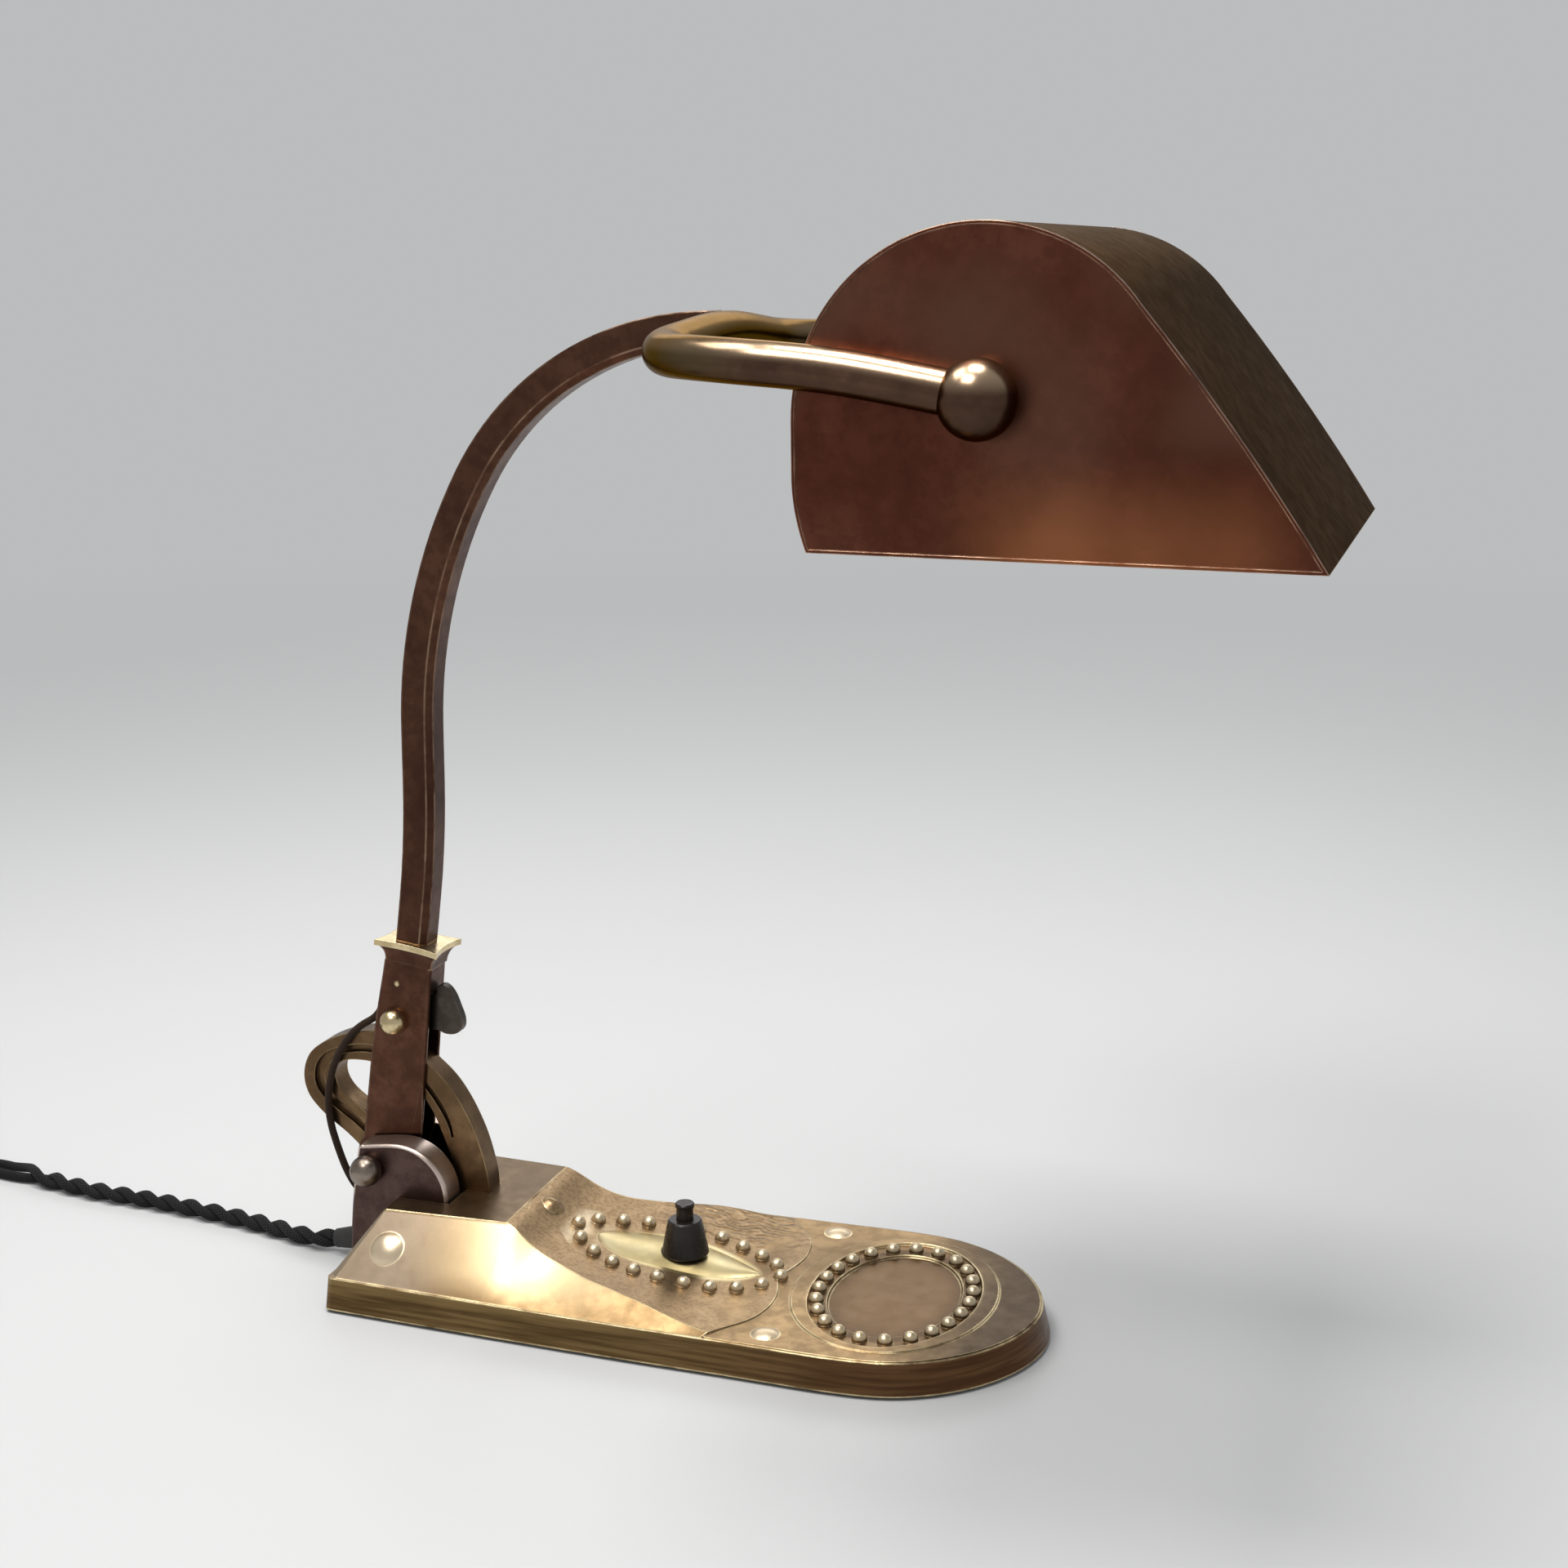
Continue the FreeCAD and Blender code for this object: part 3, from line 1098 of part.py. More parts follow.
def switch_button():
    profile = [(20.0, 0), (20.0, 2.0), (28.3, 2.0), (28.3, 4.8), (30.2, 4.8), (30.2, BUTTON_R),
               (37.8, BUTTON_R), (38.3, 3.8), (39.4, 3.9), (BUTTON_TOP - 0.1, 3.4), (BUTTON_TOP, 2.4),
               (BUTTON_TOP, 0)]
    return turned(profile, switch_axis(0), Z_AXIS)


def switch_spring():
    return coil_spring(switch_axis(22.5), 3.5, 5.3, 4.0, 0.35)


TERMINALS = (84.5, 90.0, 95.5)


def terminal_block():
    body = box(st(80), st(100), 12, 26, FELT_T + PLATE_T + 0.05, 10.0)
    for station in TERMINALS:
        body = body.cut(rod(1.52, V(st(station), 19, 5.0), V(st(station), 19, 12)))
        body = body.cut(rod(1.25, V(st(station), 10, 6.0), V(st(station), 28, 6.0)))
    return body


def terminal_screws():
    return group([turned([(0, 0), (0, 1.5), (3.0, 1.5), (3.0, 2.4), (4.4, 2.4), (4.4, 0)],
                         V(st(a), 19, 7.3), Z_AXIS) for a in TERMINALS])


# Leads and mains cord

def cord_bush():
    """The tapered bush through which the mains cord leaves the bracket."""
    start = bush_mouth() - bush_axis() * BUSH_IN
    length = BUSH_IN + BUSH_OUT
    return turned([(0, 0), (0, 4.6), (BUSH_IN + 1.4, 4.6), (BUSH_IN + 1.4, 5.6), (BUSH_IN + 2.8, 5.6),
                   (BUSH_IN + 3.8, 5.0), (length, CORD_R + 0.4), (length, 0)], start, bush_axis())


def bush_tip():
    return bush_mouth() + bush_axis() * BUSH_OUT


def grip_z():
    """Height of the cord inside the bracket."""
    return (bush_mouth() - bush_axis() * (BUSH_IN + 3.0)).z


def cord_grip():
    """The clamp block that holds the cord inside the bracket's pocket."""
    block = box(st(3.7), st(10.3), BUSH_Y - 5.0, BUSH_Y + 5.0, NOTCH_Z - 1.5, 14.6)
    return block.cut(rod(3.2 + FIT, V(st(-20), BUSH_Y, grip_z()), V(st(40), BUSH_Y, grip_z())))


def base_wiring():
    """Sheathed cord end in the bracket, and the single leads inside the foot."""
    z = grip_z()
    sheath = rod(3.2, V(st(-0.3), BUSH_Y, z), V(st(14.0), BUSH_Y, z))
    through = lead([V(st(14.05), BUSH_Y, z), V(st(18), BUSH_Y, z), V(st(26), WIRE_HOLE_Y, WIRE_HOLE_Z),
                    V(st(56), WIRE_HOLE_Y, WIRE_HOLE_Z), V(st(72), WIRE_HOLE_Y, 6.2),
                    V(st(80), 5.0, 6.0), V(st(84.5), 7.0, 6.0), V(st(84.5), 11.9, 6.0)], 1.15)
    to_switch = lead([V(st(90.0), 26.1, 6.0), V(st(90.0), 32, 6.0), V(st(100), 36, 6.0),
                      V(st(120), 24, 6.0), V(st(131.5), 16, 6.0), V(st(131.5), 10.1, 6.0)], 1.15)
    up_post = lead([V(st(2.0), LEAD_Y, 14.5), V(st(2.0), LEAD_Y, 21.0), V(st(0.8), LEAD_Y, 27.0),
                    V(st(-3.0), LEAD_Y, 28.1), V(st(-5.5), LEAD_Y, LEAD_EXIT_Z)], 1.4)
    return group([sheath, through, to_switch, up_post])


SLOT_LEAD = (3.0, -3.7, 108.6)


def tilt_lead():
    """The thin lead that loops from the bracket's back into the upright's slot."""
    points = [(-5.9, LEAD_Y, LEAD_EXIT_Z), (-10.3, -5.1, 29.0), (-14.6, -6.5, 37.5), (-17.8, -7.1, 47.5),
              (-20.9, -7.2, 58.6), (-21.3, -7.3, 69.5), (-19.0, -7.3, 80.6), (-15.2, -7.3, 89.2),
              (-10.3, -7.3, 96.6), (-4.8, -6.6, 102.0), (1.2, -3.8, 105.2), SLOT_LEAD]
    return lead([V(st(a), y, z) for a, y, z in points], 1.5)


def arm_wiring():
    """The lead inside the upright and the arm, and on in the fork's far leg."""
    inside = swept(arm_path()[:-1], 1.5)
    far_half = [k for k in fork_knots() if k[0].y >= 0]
    in_fork = swept(biarc_path(far_half), 1.5)
    a, y, z = SLOT_LEAD
    rise = lead([V(st(a + 0.15), y, z + 0.3), V(st(4.8), -3.6, 112.0), V(st(8.5), -3.7, 115.2),
                 lean_point(COLLAR_U, -2.4, 71.0), lean_point(COLLAR_U, 0, 75.0),
                 lean_point(COLLAR_U, 0, ARM_START_W - 0.05)], 1.4)
    return group([rise, inside, in_fork])


def shade_wiring():
    """The lead from the far stud to the back of the lampholder."""
    x = st(TILT_STATION)
    lamp_x = st(LAMP_STATION)
    points = [V(x, 89.6, TILT_Z), V(x, 80.0, TILT_Z + 3), V(x - 2, 74.0, TILT_Z + 14),
              V(lamp_x + 24, 79.0, LAMP_Z + 20), V(lamp_x + 21, 90.0, LAMP_Z + 6),
              V(lamp_x + 6, 93.0, LAMP_Z), V(lamp_x, 88.3, LAMP_Z)]
    return lead(points, 1.4)


# The free stretch of the mains cord: station, Y and Z of its route, laid out by hand
CORD_ROUTE = [(-33.0, -3.9, 4.1), (-48.0, 0.0, 3.6), (-70.0, 5.2, 3.6), (-97.0, 8.6, 3.6),
              (-123.5, 11.4, 3.6), (-150.0, 12.0, 3.6), (-179.0, 17.0, 3.6), (-206.0, 24.5, 3.6)]


def coil_place(turn):
    """A point of the coil: in along the table, up half a turn, and out again on top."""
    half_turn = 0.5
    centre = V(st(COIL_CENTRE[0]), COIL_CENTRE[1], 0)
    if turn <= COIL_TURNS_LOW:
        r = COIL_INNER_R + COIL_PITCH * (COIL_TURNS_LOW - turn)
        z = CORD_Z
    elif turn <= COIL_TURNS_LOW + half_turn:
        climb = (turn - COIL_TURNS_LOW) / half_turn
        r = COIL_INNER_R - COIL_TUCK * math.sin(math.pi * climb) ** 2
        z = CORD_Z + COIL_PITCH * (0.5 - 0.5 * math.cos(math.pi * climb))
    else:
        r = COIL_INNER_R + COIL_PITCH * (turn - COIL_TURNS_LOW - half_turn)
        z = CORD_Z + COIL_PITCH
    angle = math.radians(COIL_START_DEG) + 2 * math.pi * turn
    return centre + V(r * math.cos(angle), r * math.sin(angle), z)


def coil_knots():
    """Knots of the coil, one each quarter turn."""
    knots = []
    quarters = int(round((COIL_TURNS_LOW + 0.5 + COIL_TURNS_HIGH) * 4))
    near = 0.002
    for i in range(quarters + 1):
        turn = i / 4
        direction = coil_place(turn + near) - coil_place(turn - near)
        if i == 0:
            start = math.radians(COIL_START_DEG)
            direction = V(-math.sin(start), math.cos(start), 0)
        knots.append((coil_place(turn), direction))
    return knots


def plug_axis():
    return V(0.1, -1, 0).normalize()


def plug_start():
    """Where the cord enters the plug, on the table beside the coil."""
    end = coil_knots()[-1][0]
    return V(end.x - 6.0, end.y - 42.0, PLUG_R + 0.05)


def mains_cord():
    """The free stretch, from the bush to the coil."""
    start, direction = coil_knots()[0]
    route = [bush_tip() + bush_axis() * FACE_GAP] + [V(st(a), y, z) for a, y, z in CORD_ROUTE]
    route += [start - V(direction).normalize() * 22.0, start]
    edges, radii = rounded_path(route)
    solid = swept(edges, CORD_R)
    length = path_length(edges)
    print("mains cord radii", [round(r, 1) for r in radii])
    print("mains cord volume over section x length",
          round(solid.Volume / (math.pi * CORD_R ** 2 * length), 4))
    return solid, length


def coil_edges():
    edges = biarc_path(coil_knots())
    end, direction = coil_knots()[-1]
    straight_in = plug_start() - plug_axis() * 2 * CORD_R
    edges += biarc(end, V(direction).normalize(), straight_in, plug_axis())
    edges.append(Part.LineSegment(straight_in, plug_start()).toShape())
    return edges


def least_gap(edges, r):
    """The least gap of a wound tube to itself, measured on points along it."""
    points = []
    for edge in edges:
        count = max(2, int(edge.Length / 1.5))
        span = edge.LastParameter - edge.FirstParameter
        points += [edge.valueAt(edge.FirstParameter + span * i / count) for i in range(count)]
    step = path_length(edges) / len(points)
    apart = int(60.0 / step)
    least = min(p.distanceToPoint(q) for i, p in enumerate(points) for q in points[i + apart:])
    return least - 2 * r


def mains_coil():
    edges = coil_edges()
    length = path_length(edges)
    solid = swept(edges, CORD_R)
    print("mains coil least gap", round(least_gap(edges, CORD_R), 2))
    print("mains coil volume over section x length",
          round(solid.Volume / (math.pi * CORD_R ** 2 * length), 4))
    return solid, length


def pin_rod(side, r):
    across = Z_AXIS.cross(plug_axis()) * 9.5 * side
    start = plug_start() + plug_axis() * 20.0 + across
    return rod(r, start, start + plug_axis() * 30.0)


def mains_plug():
    """Two-pin plug lying on the table."""
    plug = turned([(0, 0), (0, 5.0), (3.0, 5.6), (9.0, 9.5), (15.0, PLUG_R), (30.0, PLUG_R),
                   (31.0, PLUG_R - 1), (31.0, 0)], plug_start(), plug_axis())
    return plug.cut([pin_rod(side, 2.0 + FIT) for side in (-1, 1)])


def plug_pins():
    return group([pin_rod(side, 2.0) for side in (-1, 1)])


def export(name, shape):
    if not shape.isValid():
        print("NOT VALID", name)
    shape.exportStep("parts/" + name + ".step")
    b = shape.BoundBox
    print(name, len(shape.Solids), "solids", round(shape.Volume / 1000, 2), "cm3",
          [round(v, 1) for v in (b.XMin, b.XMax, b.YMin, b.YMax, b.ZMin, b.ZMax)])


def main():
    os.makedirs("parts", exist_ok=True)
    cord, cord_length = mains_cord()
    coil, coil_length = mains_coil()
    print("cord length outside the lamp", round(cord_length + coil_length, 1))
    near_ball = fork_ball()
    nodes = {
        "base_casting": base_casting(), "felt_pad": felt_pad(), "bottom_plate": bottom_plate(),
        "bottom_screws": bottom_screws(), "ballast": ballast(), "pivot_bracket": pivot_bracket(),
        "bracket_screws": bracket_screws(), "arch_bar": arch_bar(), "arch_screw": arch_screw(),
        "pivot_bolt": pivot_bolt(), "pivot_ball_nut": pivot_ball_nut(), "pivot_washers": pivot_washers(),
        "switch_body": switch_body(), "switch_cone": switch_cone(), "switch_spring": switch_spring(),
        "terminal_block": terminal_block(), "terminal_screws": terminal_screws(),
        "cord_bush": cord_bush(), "cord_grip": cord_grip(), "base_wiring": base_wiring(),
        "mains_cord": cord, "mains_coil": coil, "mains_plug": mains_plug(), "plug_pins": plug_pins(),
        "tilt_lead": tilt_lead(), "post": post(), "post_collar": post_collar(), "arm": arm(),
        "latch_pin": latch_pin(), "latch_pin_nut": latch_pin_nut(), "stop_pin": stop_pin(),
        "latch_spring": latch_spring(), "fork_yoke": fork_yoke(), "fork_ball_near": near_ball,
        "fork_ball_far": mirrored(near_ball), "arm_wiring": arm_wiring(),
        "shade_studs": group([shade_stud(), mirrored(shade_stud())]),
        "shade_washers": group(tilt_washers() + [mirrored(w) for w in tilt_washers()]),
        "shade_nuts": group([tilt_nut(), mirrored(tilt_nut())]),
        "latch_lever": latch_lever(), "switch_button": switch_button(), "shade_sheet": shade_sheet(),
        "shade_cap_near": shade_cap(), "shade_cap_far": shade_cap_far(), "socket_strap": socket_strap(),
        "strap_rivets": strap_rivets(), "lampholder": lampholder(), "holder_nut": holder_nut(),
        "holder_insulator": holder_insulator(), "bulb_cap": bulb_cap(), "bulb_glass": bulb_glass(),
        "shade_wiring": shade_wiring(),
    }
    for name, shape in nodes.items():
        export(name, shape)


main()
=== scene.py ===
# %% [markdown]
# # A notary lamp
# The lamp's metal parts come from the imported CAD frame. This lesson gives each of them its finish, and
# makes what CAD can't show well: the twisted cloth cord, the thin leads, two coil springs, the felt sole
# and the inside of the bulb. Everything is in metres, in the frame's own axes, so nothing is fitted by
# eye.

# %% Load the frame
import math
import bpy
from mathutils import Matrix, Vector, noise


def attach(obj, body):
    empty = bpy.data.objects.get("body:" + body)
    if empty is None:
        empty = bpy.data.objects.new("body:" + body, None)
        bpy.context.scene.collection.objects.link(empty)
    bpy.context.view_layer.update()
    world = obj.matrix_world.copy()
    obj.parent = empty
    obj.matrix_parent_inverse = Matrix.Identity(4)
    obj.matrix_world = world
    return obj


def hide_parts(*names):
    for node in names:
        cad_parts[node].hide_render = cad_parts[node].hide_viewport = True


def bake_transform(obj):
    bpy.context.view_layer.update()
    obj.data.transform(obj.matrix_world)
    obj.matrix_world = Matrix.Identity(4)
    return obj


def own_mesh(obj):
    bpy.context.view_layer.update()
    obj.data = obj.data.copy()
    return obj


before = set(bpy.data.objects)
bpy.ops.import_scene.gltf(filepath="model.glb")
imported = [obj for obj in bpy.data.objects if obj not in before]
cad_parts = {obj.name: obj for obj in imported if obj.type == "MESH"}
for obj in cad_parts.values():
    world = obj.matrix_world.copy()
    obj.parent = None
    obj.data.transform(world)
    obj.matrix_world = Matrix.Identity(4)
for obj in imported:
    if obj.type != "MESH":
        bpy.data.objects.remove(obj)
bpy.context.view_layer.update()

# %% [markdown]
# ## Camera
# The lamp was photographed from its near side, a little above it and from in front of its middle. The
# camera's place and direction were worked out from known points on the foot, the fork and the shade.
# A constraint could aim the camera at the lamp, but would leave out its slight roll. A camera in Blender
# looks along its own -Z, so its matrix is built from three directions instead: right, up and back.

# %% Place the camera
MM = 0.001
CAMERA_PLACE = Vector((292.6, -786.1, 403.5)) * MM
YAW = math.radians(18.163)
PITCH = math.radians(-13.0)
ROLL = math.radians(-0.2907)
LENS_MM = 52.32
SENSOR_MM = 36.0


def in_scene(name, data):
    """A new object in the scene that holds a mesh, a lamp or the camera."""
    made = bpy.data.objects.new(name, data)
    bpy.context.scene.collection.objects.link(made)
    return made


forward = Vector((-math.sin(YAW) * math.cos(PITCH), math.cos(YAW) * math.cos(PITCH), math.sin(PITCH)))
level_right = Vector((math.cos(YAW), math.sin(YAW), 0))
level_up = level_right.cross(forward)
right = level_right * math.cos(ROLL) + level_up * math.sin(ROLL)
up = level_up * math.cos(ROLL) - level_right * math.sin(ROLL)

camera_data = bpy.data.cameras.new("camera")
camera_data.sensor_fit = "HORIZONTAL"
camera_data.sensor_width = SENSOR_MM
camera_data.lens = LENS_MM
camera = in_scene("camera", camera_data)
axes = Matrix((right, up, -forward)).transposed().to_4x4()
camera.matrix_world = Matrix.Translation(CAMERA_PLACE) @ axes
bpy.context.scene.camera = camera
print("camera at", [round(v, 3) for v in CAMERA_PLACE])

# %% [markdown]
# ## A line for each cord
# A real cord lies in slow curves, because it is springy. A curve that has to pass through every point of
# a route bends at each of them. A NURBS spline lies as a cord does, because its control points only pull
# at it. The strands later follow points that are read back from it, so they share its smoothness.

# %% Helpers for cord lines
def cord_line(name, route_mm):
    """A curve object with one open NURBS spline that the route's points pull at."""
    curve = bpy.data.curves.new(name, "CURVE")
    curve.dimensions = "3D"
    spline = curve.splines.new("NURBS")
    spline.points.add(len(route_mm) - 1)
    for control, place in zip(spline.points, route_mm):
        control.co = (*(Vector(place) * MM), 1.0)
    spline.order_u = 3
    spline.use_endpoint_u = True
    spline.resolution_u = 10
    return bpy.data.objects.new(name, curve)


def read_points(line):
    """The points that Blender itself works out along a curve with no bevel."""
    mesh = bpy.data.meshes.new_from_object(line)
    points = [v.co.copy() for v in mesh.vertices]
    bpy.data.meshes.remove(mesh)
    return points


def lay_line(name, route_mm, step):
    """Points about one step apart along the route's smooth line, and the line's length."""
    points = read_points(cord_line(name, route_mm))
    runs = [0.0]
    for a, b in zip(points, points[1:]):
        runs.append(runs[-1] + (b - a).length)
    count = max(2, round(runs[-1] / step))
    even = []
    k = 0
    for i in range(count + 1):
        target = runs[-1] * i / count
        while k < len(points) - 2 and runs[k + 1] < target:
            k += 1
        share = (target - runs[k]) / max(runs[k + 1] - runs[k], 1e-9)
        even.append(points[k].lerp(points[k + 1], min(share, 1.0)))
    return even, runs[-1]


print("cord line helpers ready")

# %% [markdown]
# ## The route of the mains cord
# The cord comes out of a tapered bush at the back of the foot, drops to the table and wanders off to the
# left. The length the view doesn't show lies just outside it, wound up in a neat flat coil of two
# layers with its plug beside it. The coil's turns are points of the same spline, worked out turn by turn.

# %% Points of the mains cord, in millimetres
CORD_START = (-161.05, -4.0, 5.88)
ON_TABLE = 3.65
cord_route = [CORD_START, (-172.0, -3.9, 4.1), (-187.0, 0.0, ON_TABLE), (-209.0, 5.2, ON_TABLE),
              (-236.0, 8.6, ON_TABLE), (-262.5, 11.4, ON_TABLE), (-289.0, 12.0, ON_TABLE),
              (-318.0, 17.0, ON_TABLE), (-345.0, 24.5, ON_TABLE), (-367.0, 27.5, ON_TABLE)]

COIL_CENTRE = (-401.0, -18.0)
COIL_PITCH = 7.8
COIL_INNER_R = 29.0
COIL_START_DEG = 76.0
COIL_TURNS = 6.25
TURNS_IN = 3.0
TURNS_UP = 0.5
CLIMB_PINCH = 1.6
POINTS_PER_TURN = 16


def coil_point(turn):
    """In along the table for three turns, up in half a turn, then out again on top."""
    turns_out = turn - TURNS_IN - TURNS_UP
    if turn <= TURNS_IN:
        radius = COIL_INNER_R + COIL_PITCH * (TURNS_IN - turn)
        height = ON_TABLE
    elif turns_out <= 0:
        climb = (turn - TURNS_IN) / TURNS_UP
        radius = COIL_INNER_R - CLIMB_PINCH * math.sin(math.pi * climb) ** 2
        height = ON_TABLE + COIL_PITCH * (0.5 - 0.5 * math.cos(math.pi * climb))
    else:
        radius = COIL_INNER_R + COIL_PITCH * turns_out
        height = ON_TABLE + COIL_PITCH
    angle = math.radians(COIL_START_DEG) + 2 * math.pi * turn
    return (COIL_CENTRE[0] + radius * math.cos(angle), COIL_CENTRE[1] + radius * math.sin(angle), height)


for i in range(int(COIL_TURNS * POINTS_PER_TURN) + 1):
    cord_route.append(coil_point(i / POINTS_PER_TURN))
PLUG_MOUTH = (-455.95, -47.8, 13.05)
cord_route += [(-453.6, -19.0, 12.2), (-456.6, -32.5, 13.0), (-456.6, -40.8, 13.05), PLUG_MOUTH]
CORD_STEP = 0.0013
cord_points, cord_length = lay_line("cord_line", cord_route, CORD_STEP)
print("mains cord:", len(cord_route), "control points,", round(cord_length, 3), "m long")

# %% [markdown]
# ## Two strands, twisted
# An old lamp cord is two cloth-covered strands twisted round each other. A twist drawn on one round tube
# would leave its outline straight, so each strand is a tube along a helix round the cord's line. To wind
# a helix along a bent line, a pair of directions across the line is carried along it without spinning.
# The twist isn't perfectly even on the real cord, so its pitch drifts a little, and just at the edge of
# the view the two strands lie a little apart. Each tube gets a UV map that counts round it and along it
# in the same unit, so that the braid of its cover keeps its shape.

# %% Helpers for tubes
def directions_along(points):
    """For each point: along the line, and two directions across it that don't spin."""
    found = []
    side = None
    for i, point in enumerate(points):
        ahead = points[min(i + 1, len(points) - 1)] - points[max(i - 1, 0)]
        along = ahead.normalized()
        if side is None:
            side = Vector((0, 0, 1)).cross(along)
            if side.length < 0.1:
                side = Vector((0, 1, 0)).cross(along)
        side = (side - along * side.dot(along)).normalized()
        found.append((along, side, along.cross(side)))
    return found


def tube_mesh(name, lines, radius, sides=10):
    """One mesh object with a closed tube round each line, and its UV map."""
    vertices = []
    faces = []
    uvs = []
    girth = 2 * math.pi * radius
    for points in lines:
        first = len(vertices)
        run = 0.0
        runs = []
        for i, (point, (along, a, b)) in enumerate(zip(points, directions_along(points))):
            if i:
                run += (point - points[i - 1]).length
            runs.append(run / girth)
            for k in range(sides):
                t = 2 * math.pi * k / sides
                vertices.append(point + (a * math.cos(t) + b * math.sin(t)) * radius)
        for i in range(len(points) - 1):
            for k in range(sides):
                n = (k + 1) % sides
                low, high = first + i * sides, first + (i + 1) * sides
                faces.append((low + k, low + n, high + n, high + k))
                v0, v1 = k / sides, (k + 1) / sides
                uvs += [(runs[i], v0), (runs[i], v1), (runs[i + 1], v1), (runs[i + 1], v0)]
        last = first + (len(points) - 1) * sides
        faces.append(tuple(first + k for k in reversed(range(sides))))
        faces.append(tuple(last + k for k in range(sides)))
        uvs += [(0.0, k / sides) for k in range(sides)] * 2
    mesh = bpy.data.meshes.new(name)
    mesh.from_pydata([tuple(v) for v in vertices], [], faces)
    layer = mesh.uv_layers.new(name="around")
    for corner, uv in zip(layer.data, uvs):
        corner.uv = uv
    mesh.polygons.foreach_set("use_smooth", [True] * len(mesh.polygons))
    return in_scene(name, mesh)


print("tube helpers ready")

# %% Wind the strands
STRAND_R = 0.00205
TWIST_R = 0.00180
TWIST_PITCH = 0.026
TWIST_DRIFT = 0.16
DRIFTS_PER_M = 22
EYE_AT = 0.187
EYE_LENGTH = 0.021
EYE_R = 0.0040
EYE_UNTWIST = 0.85
TABLE_GAP = 0.0001


def eye_share(run):
    """1 in the middle of the eye between the strands, falling to 0 away from it."""
    return math.exp(-((run - EYE_AT) / EYE_LENGTH) ** 2)


def twist_angles(points):
    """How far the pair has turned at each point, counted from the middle of the eye."""
    run = 0.0
    runs = [0.0]
    angles = [0.0]
    for before, point in zip(points, points[1:]):
        step = (point - before).length
        run += step
        drift = 1 + TWIST_DRIFT * noise.noise(Vector((run * DRIFTS_PER_M, 3.1, 0.7)))
        turn = 2 * math.pi * step / TWIST_PITCH * drift * (1 - EYE_UNTWIST * eye_share(run))
        angles.append(angles[-1] + turn)
        runs.append(run)
    at_eye = min(range(len(runs)), key=lambda i: abs(runs[i] - EYE_AT))
    return runs, [angle - angles[at_eye] for angle in angles]


def twisted(points, start_angle):
    """The line of one strand of the pair."""
    strand = []
    runs, angles = twist_angles(points)
    for point, run, turned, (along, a, b) in zip(points, runs, angles, directions_along(points)):
        angle = turned + start_angle
        eye = eye_share(run)
        radius = TWIST_R + (EYE_R - TWIST_R) * eye
        place = point + (a * math.cos(angle) + b * math.sin(angle)) * radius
        place.z -= (ON_TABLE * MM - STRAND_R) * eye
        place.z = max(place.z, STRAND_R + TABLE_GAP)
        strand.append(place)
    return strand


strands = [twisted(cord_points, 0.0), twisted(cord_points, math.pi)]
mains_cord = tube_mesh("twisted_cord", strands, STRAND_R)
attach(mains_cord, "foot")
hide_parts("mains_cord", "mains_coil")
print("strand points:", len(strands[0]), "faces:", len(mains_cord.data.polygons))

# %% [markdown]
# ## The thin leads
# One lead loops from the bracket up behind the upright, so it bends when the upright swings. Another
# runs inside the shade from the hollow stud to the lampholder.
# Both are single tubes in a woven cover. Curves with a bevel would have the same shape, but the tubes of
# the last step also bring the UV map that the weave needs.

# %% Make the leads
LEAD_R = 0.0015
HOLDER_LEAD_R = 0.0014
LEAD_STEP = 0.001
LEAD_SIDES = 12
tilt_route = [(-144.9, -4.5, 28.0), (-149.3, -5.1, 29.0), (-153.6, -6.5, 37.5), (-156.8, -7.1, 47.5),
              (-159.9, -7.2, 58.6), (-160.3, -7.3, 69.5), (-158.0, -7.3, 80.6), (-154.2, -7.3, 89.2),
              (-149.3, -7.3, 96.6), (-143.8, -6.6, 102.0), (-137.8, -3.8, 105.2), (-136.0, -3.7, 108.6)]
tilt_points, tilt_length = lay_line("tilt_line", tilt_route, LEAD_STEP)
tilt_lead = tube_mesh("looped_lead", [tilt_points], LEAD_R, LEAD_SIDES)
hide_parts("tilt_lead")
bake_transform(tilt_lead)

shade_route = [(131.2, 89.6, 361.4), (131.2, 80.0, 364.4), (129.2, 74.0, 375.4), (147.0, 79.0, 365.0),
               (144.0, 90.0, 351.0), (129.0, 93.0, 345.0), (123.0, 88.3, 345.0)]
shade_points, shade_length = lay_line("shade_line", shade_route, LEAD_STEP)
shade_lead = tube_mesh("holder_lead", [shade_points], HOLDER_LEAD_R, LEAD_SIDES)
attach(shade_lead, "shade")
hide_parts("shade_wiring")
print("leads:", round(tilt_length, 3), "m and", round(shade_length, 3), "m")

# %% [markdown]
# ## Two small springs
# The button and the latch are each pushed back by a coil spring, which gets shorter as its joint moves.
# A screw modifier could wind one, but the tube helper is at hand and only needs points on a helix.

# %% Make the springs
SPRING_WIRE_R = 0.00035
SPRING_SIDES = 8
POINTS_PER_COIL = 20


def spring(name, centre_mm, radius_mm, height_mm, turns):
    """A coil of thin wire that stands on the given centre."""
    points = []
    for i in range(turns * POINTS_PER_COIL + 1):
        angle = 2 * math.pi * i / POINTS_PER_COIL
        rise = height_mm * i / (turns * POINTS_PER_COIL)
        round_axis = Vector((math.cos(angle) * radius_mm, math.sin(angle) * radius_mm, rise))
        points.append((Vector(centre_mm) + round_axis) * MM)
    return tube_mesh(name, [points], SPRING_WIRE_R, SPRING_SIDES)


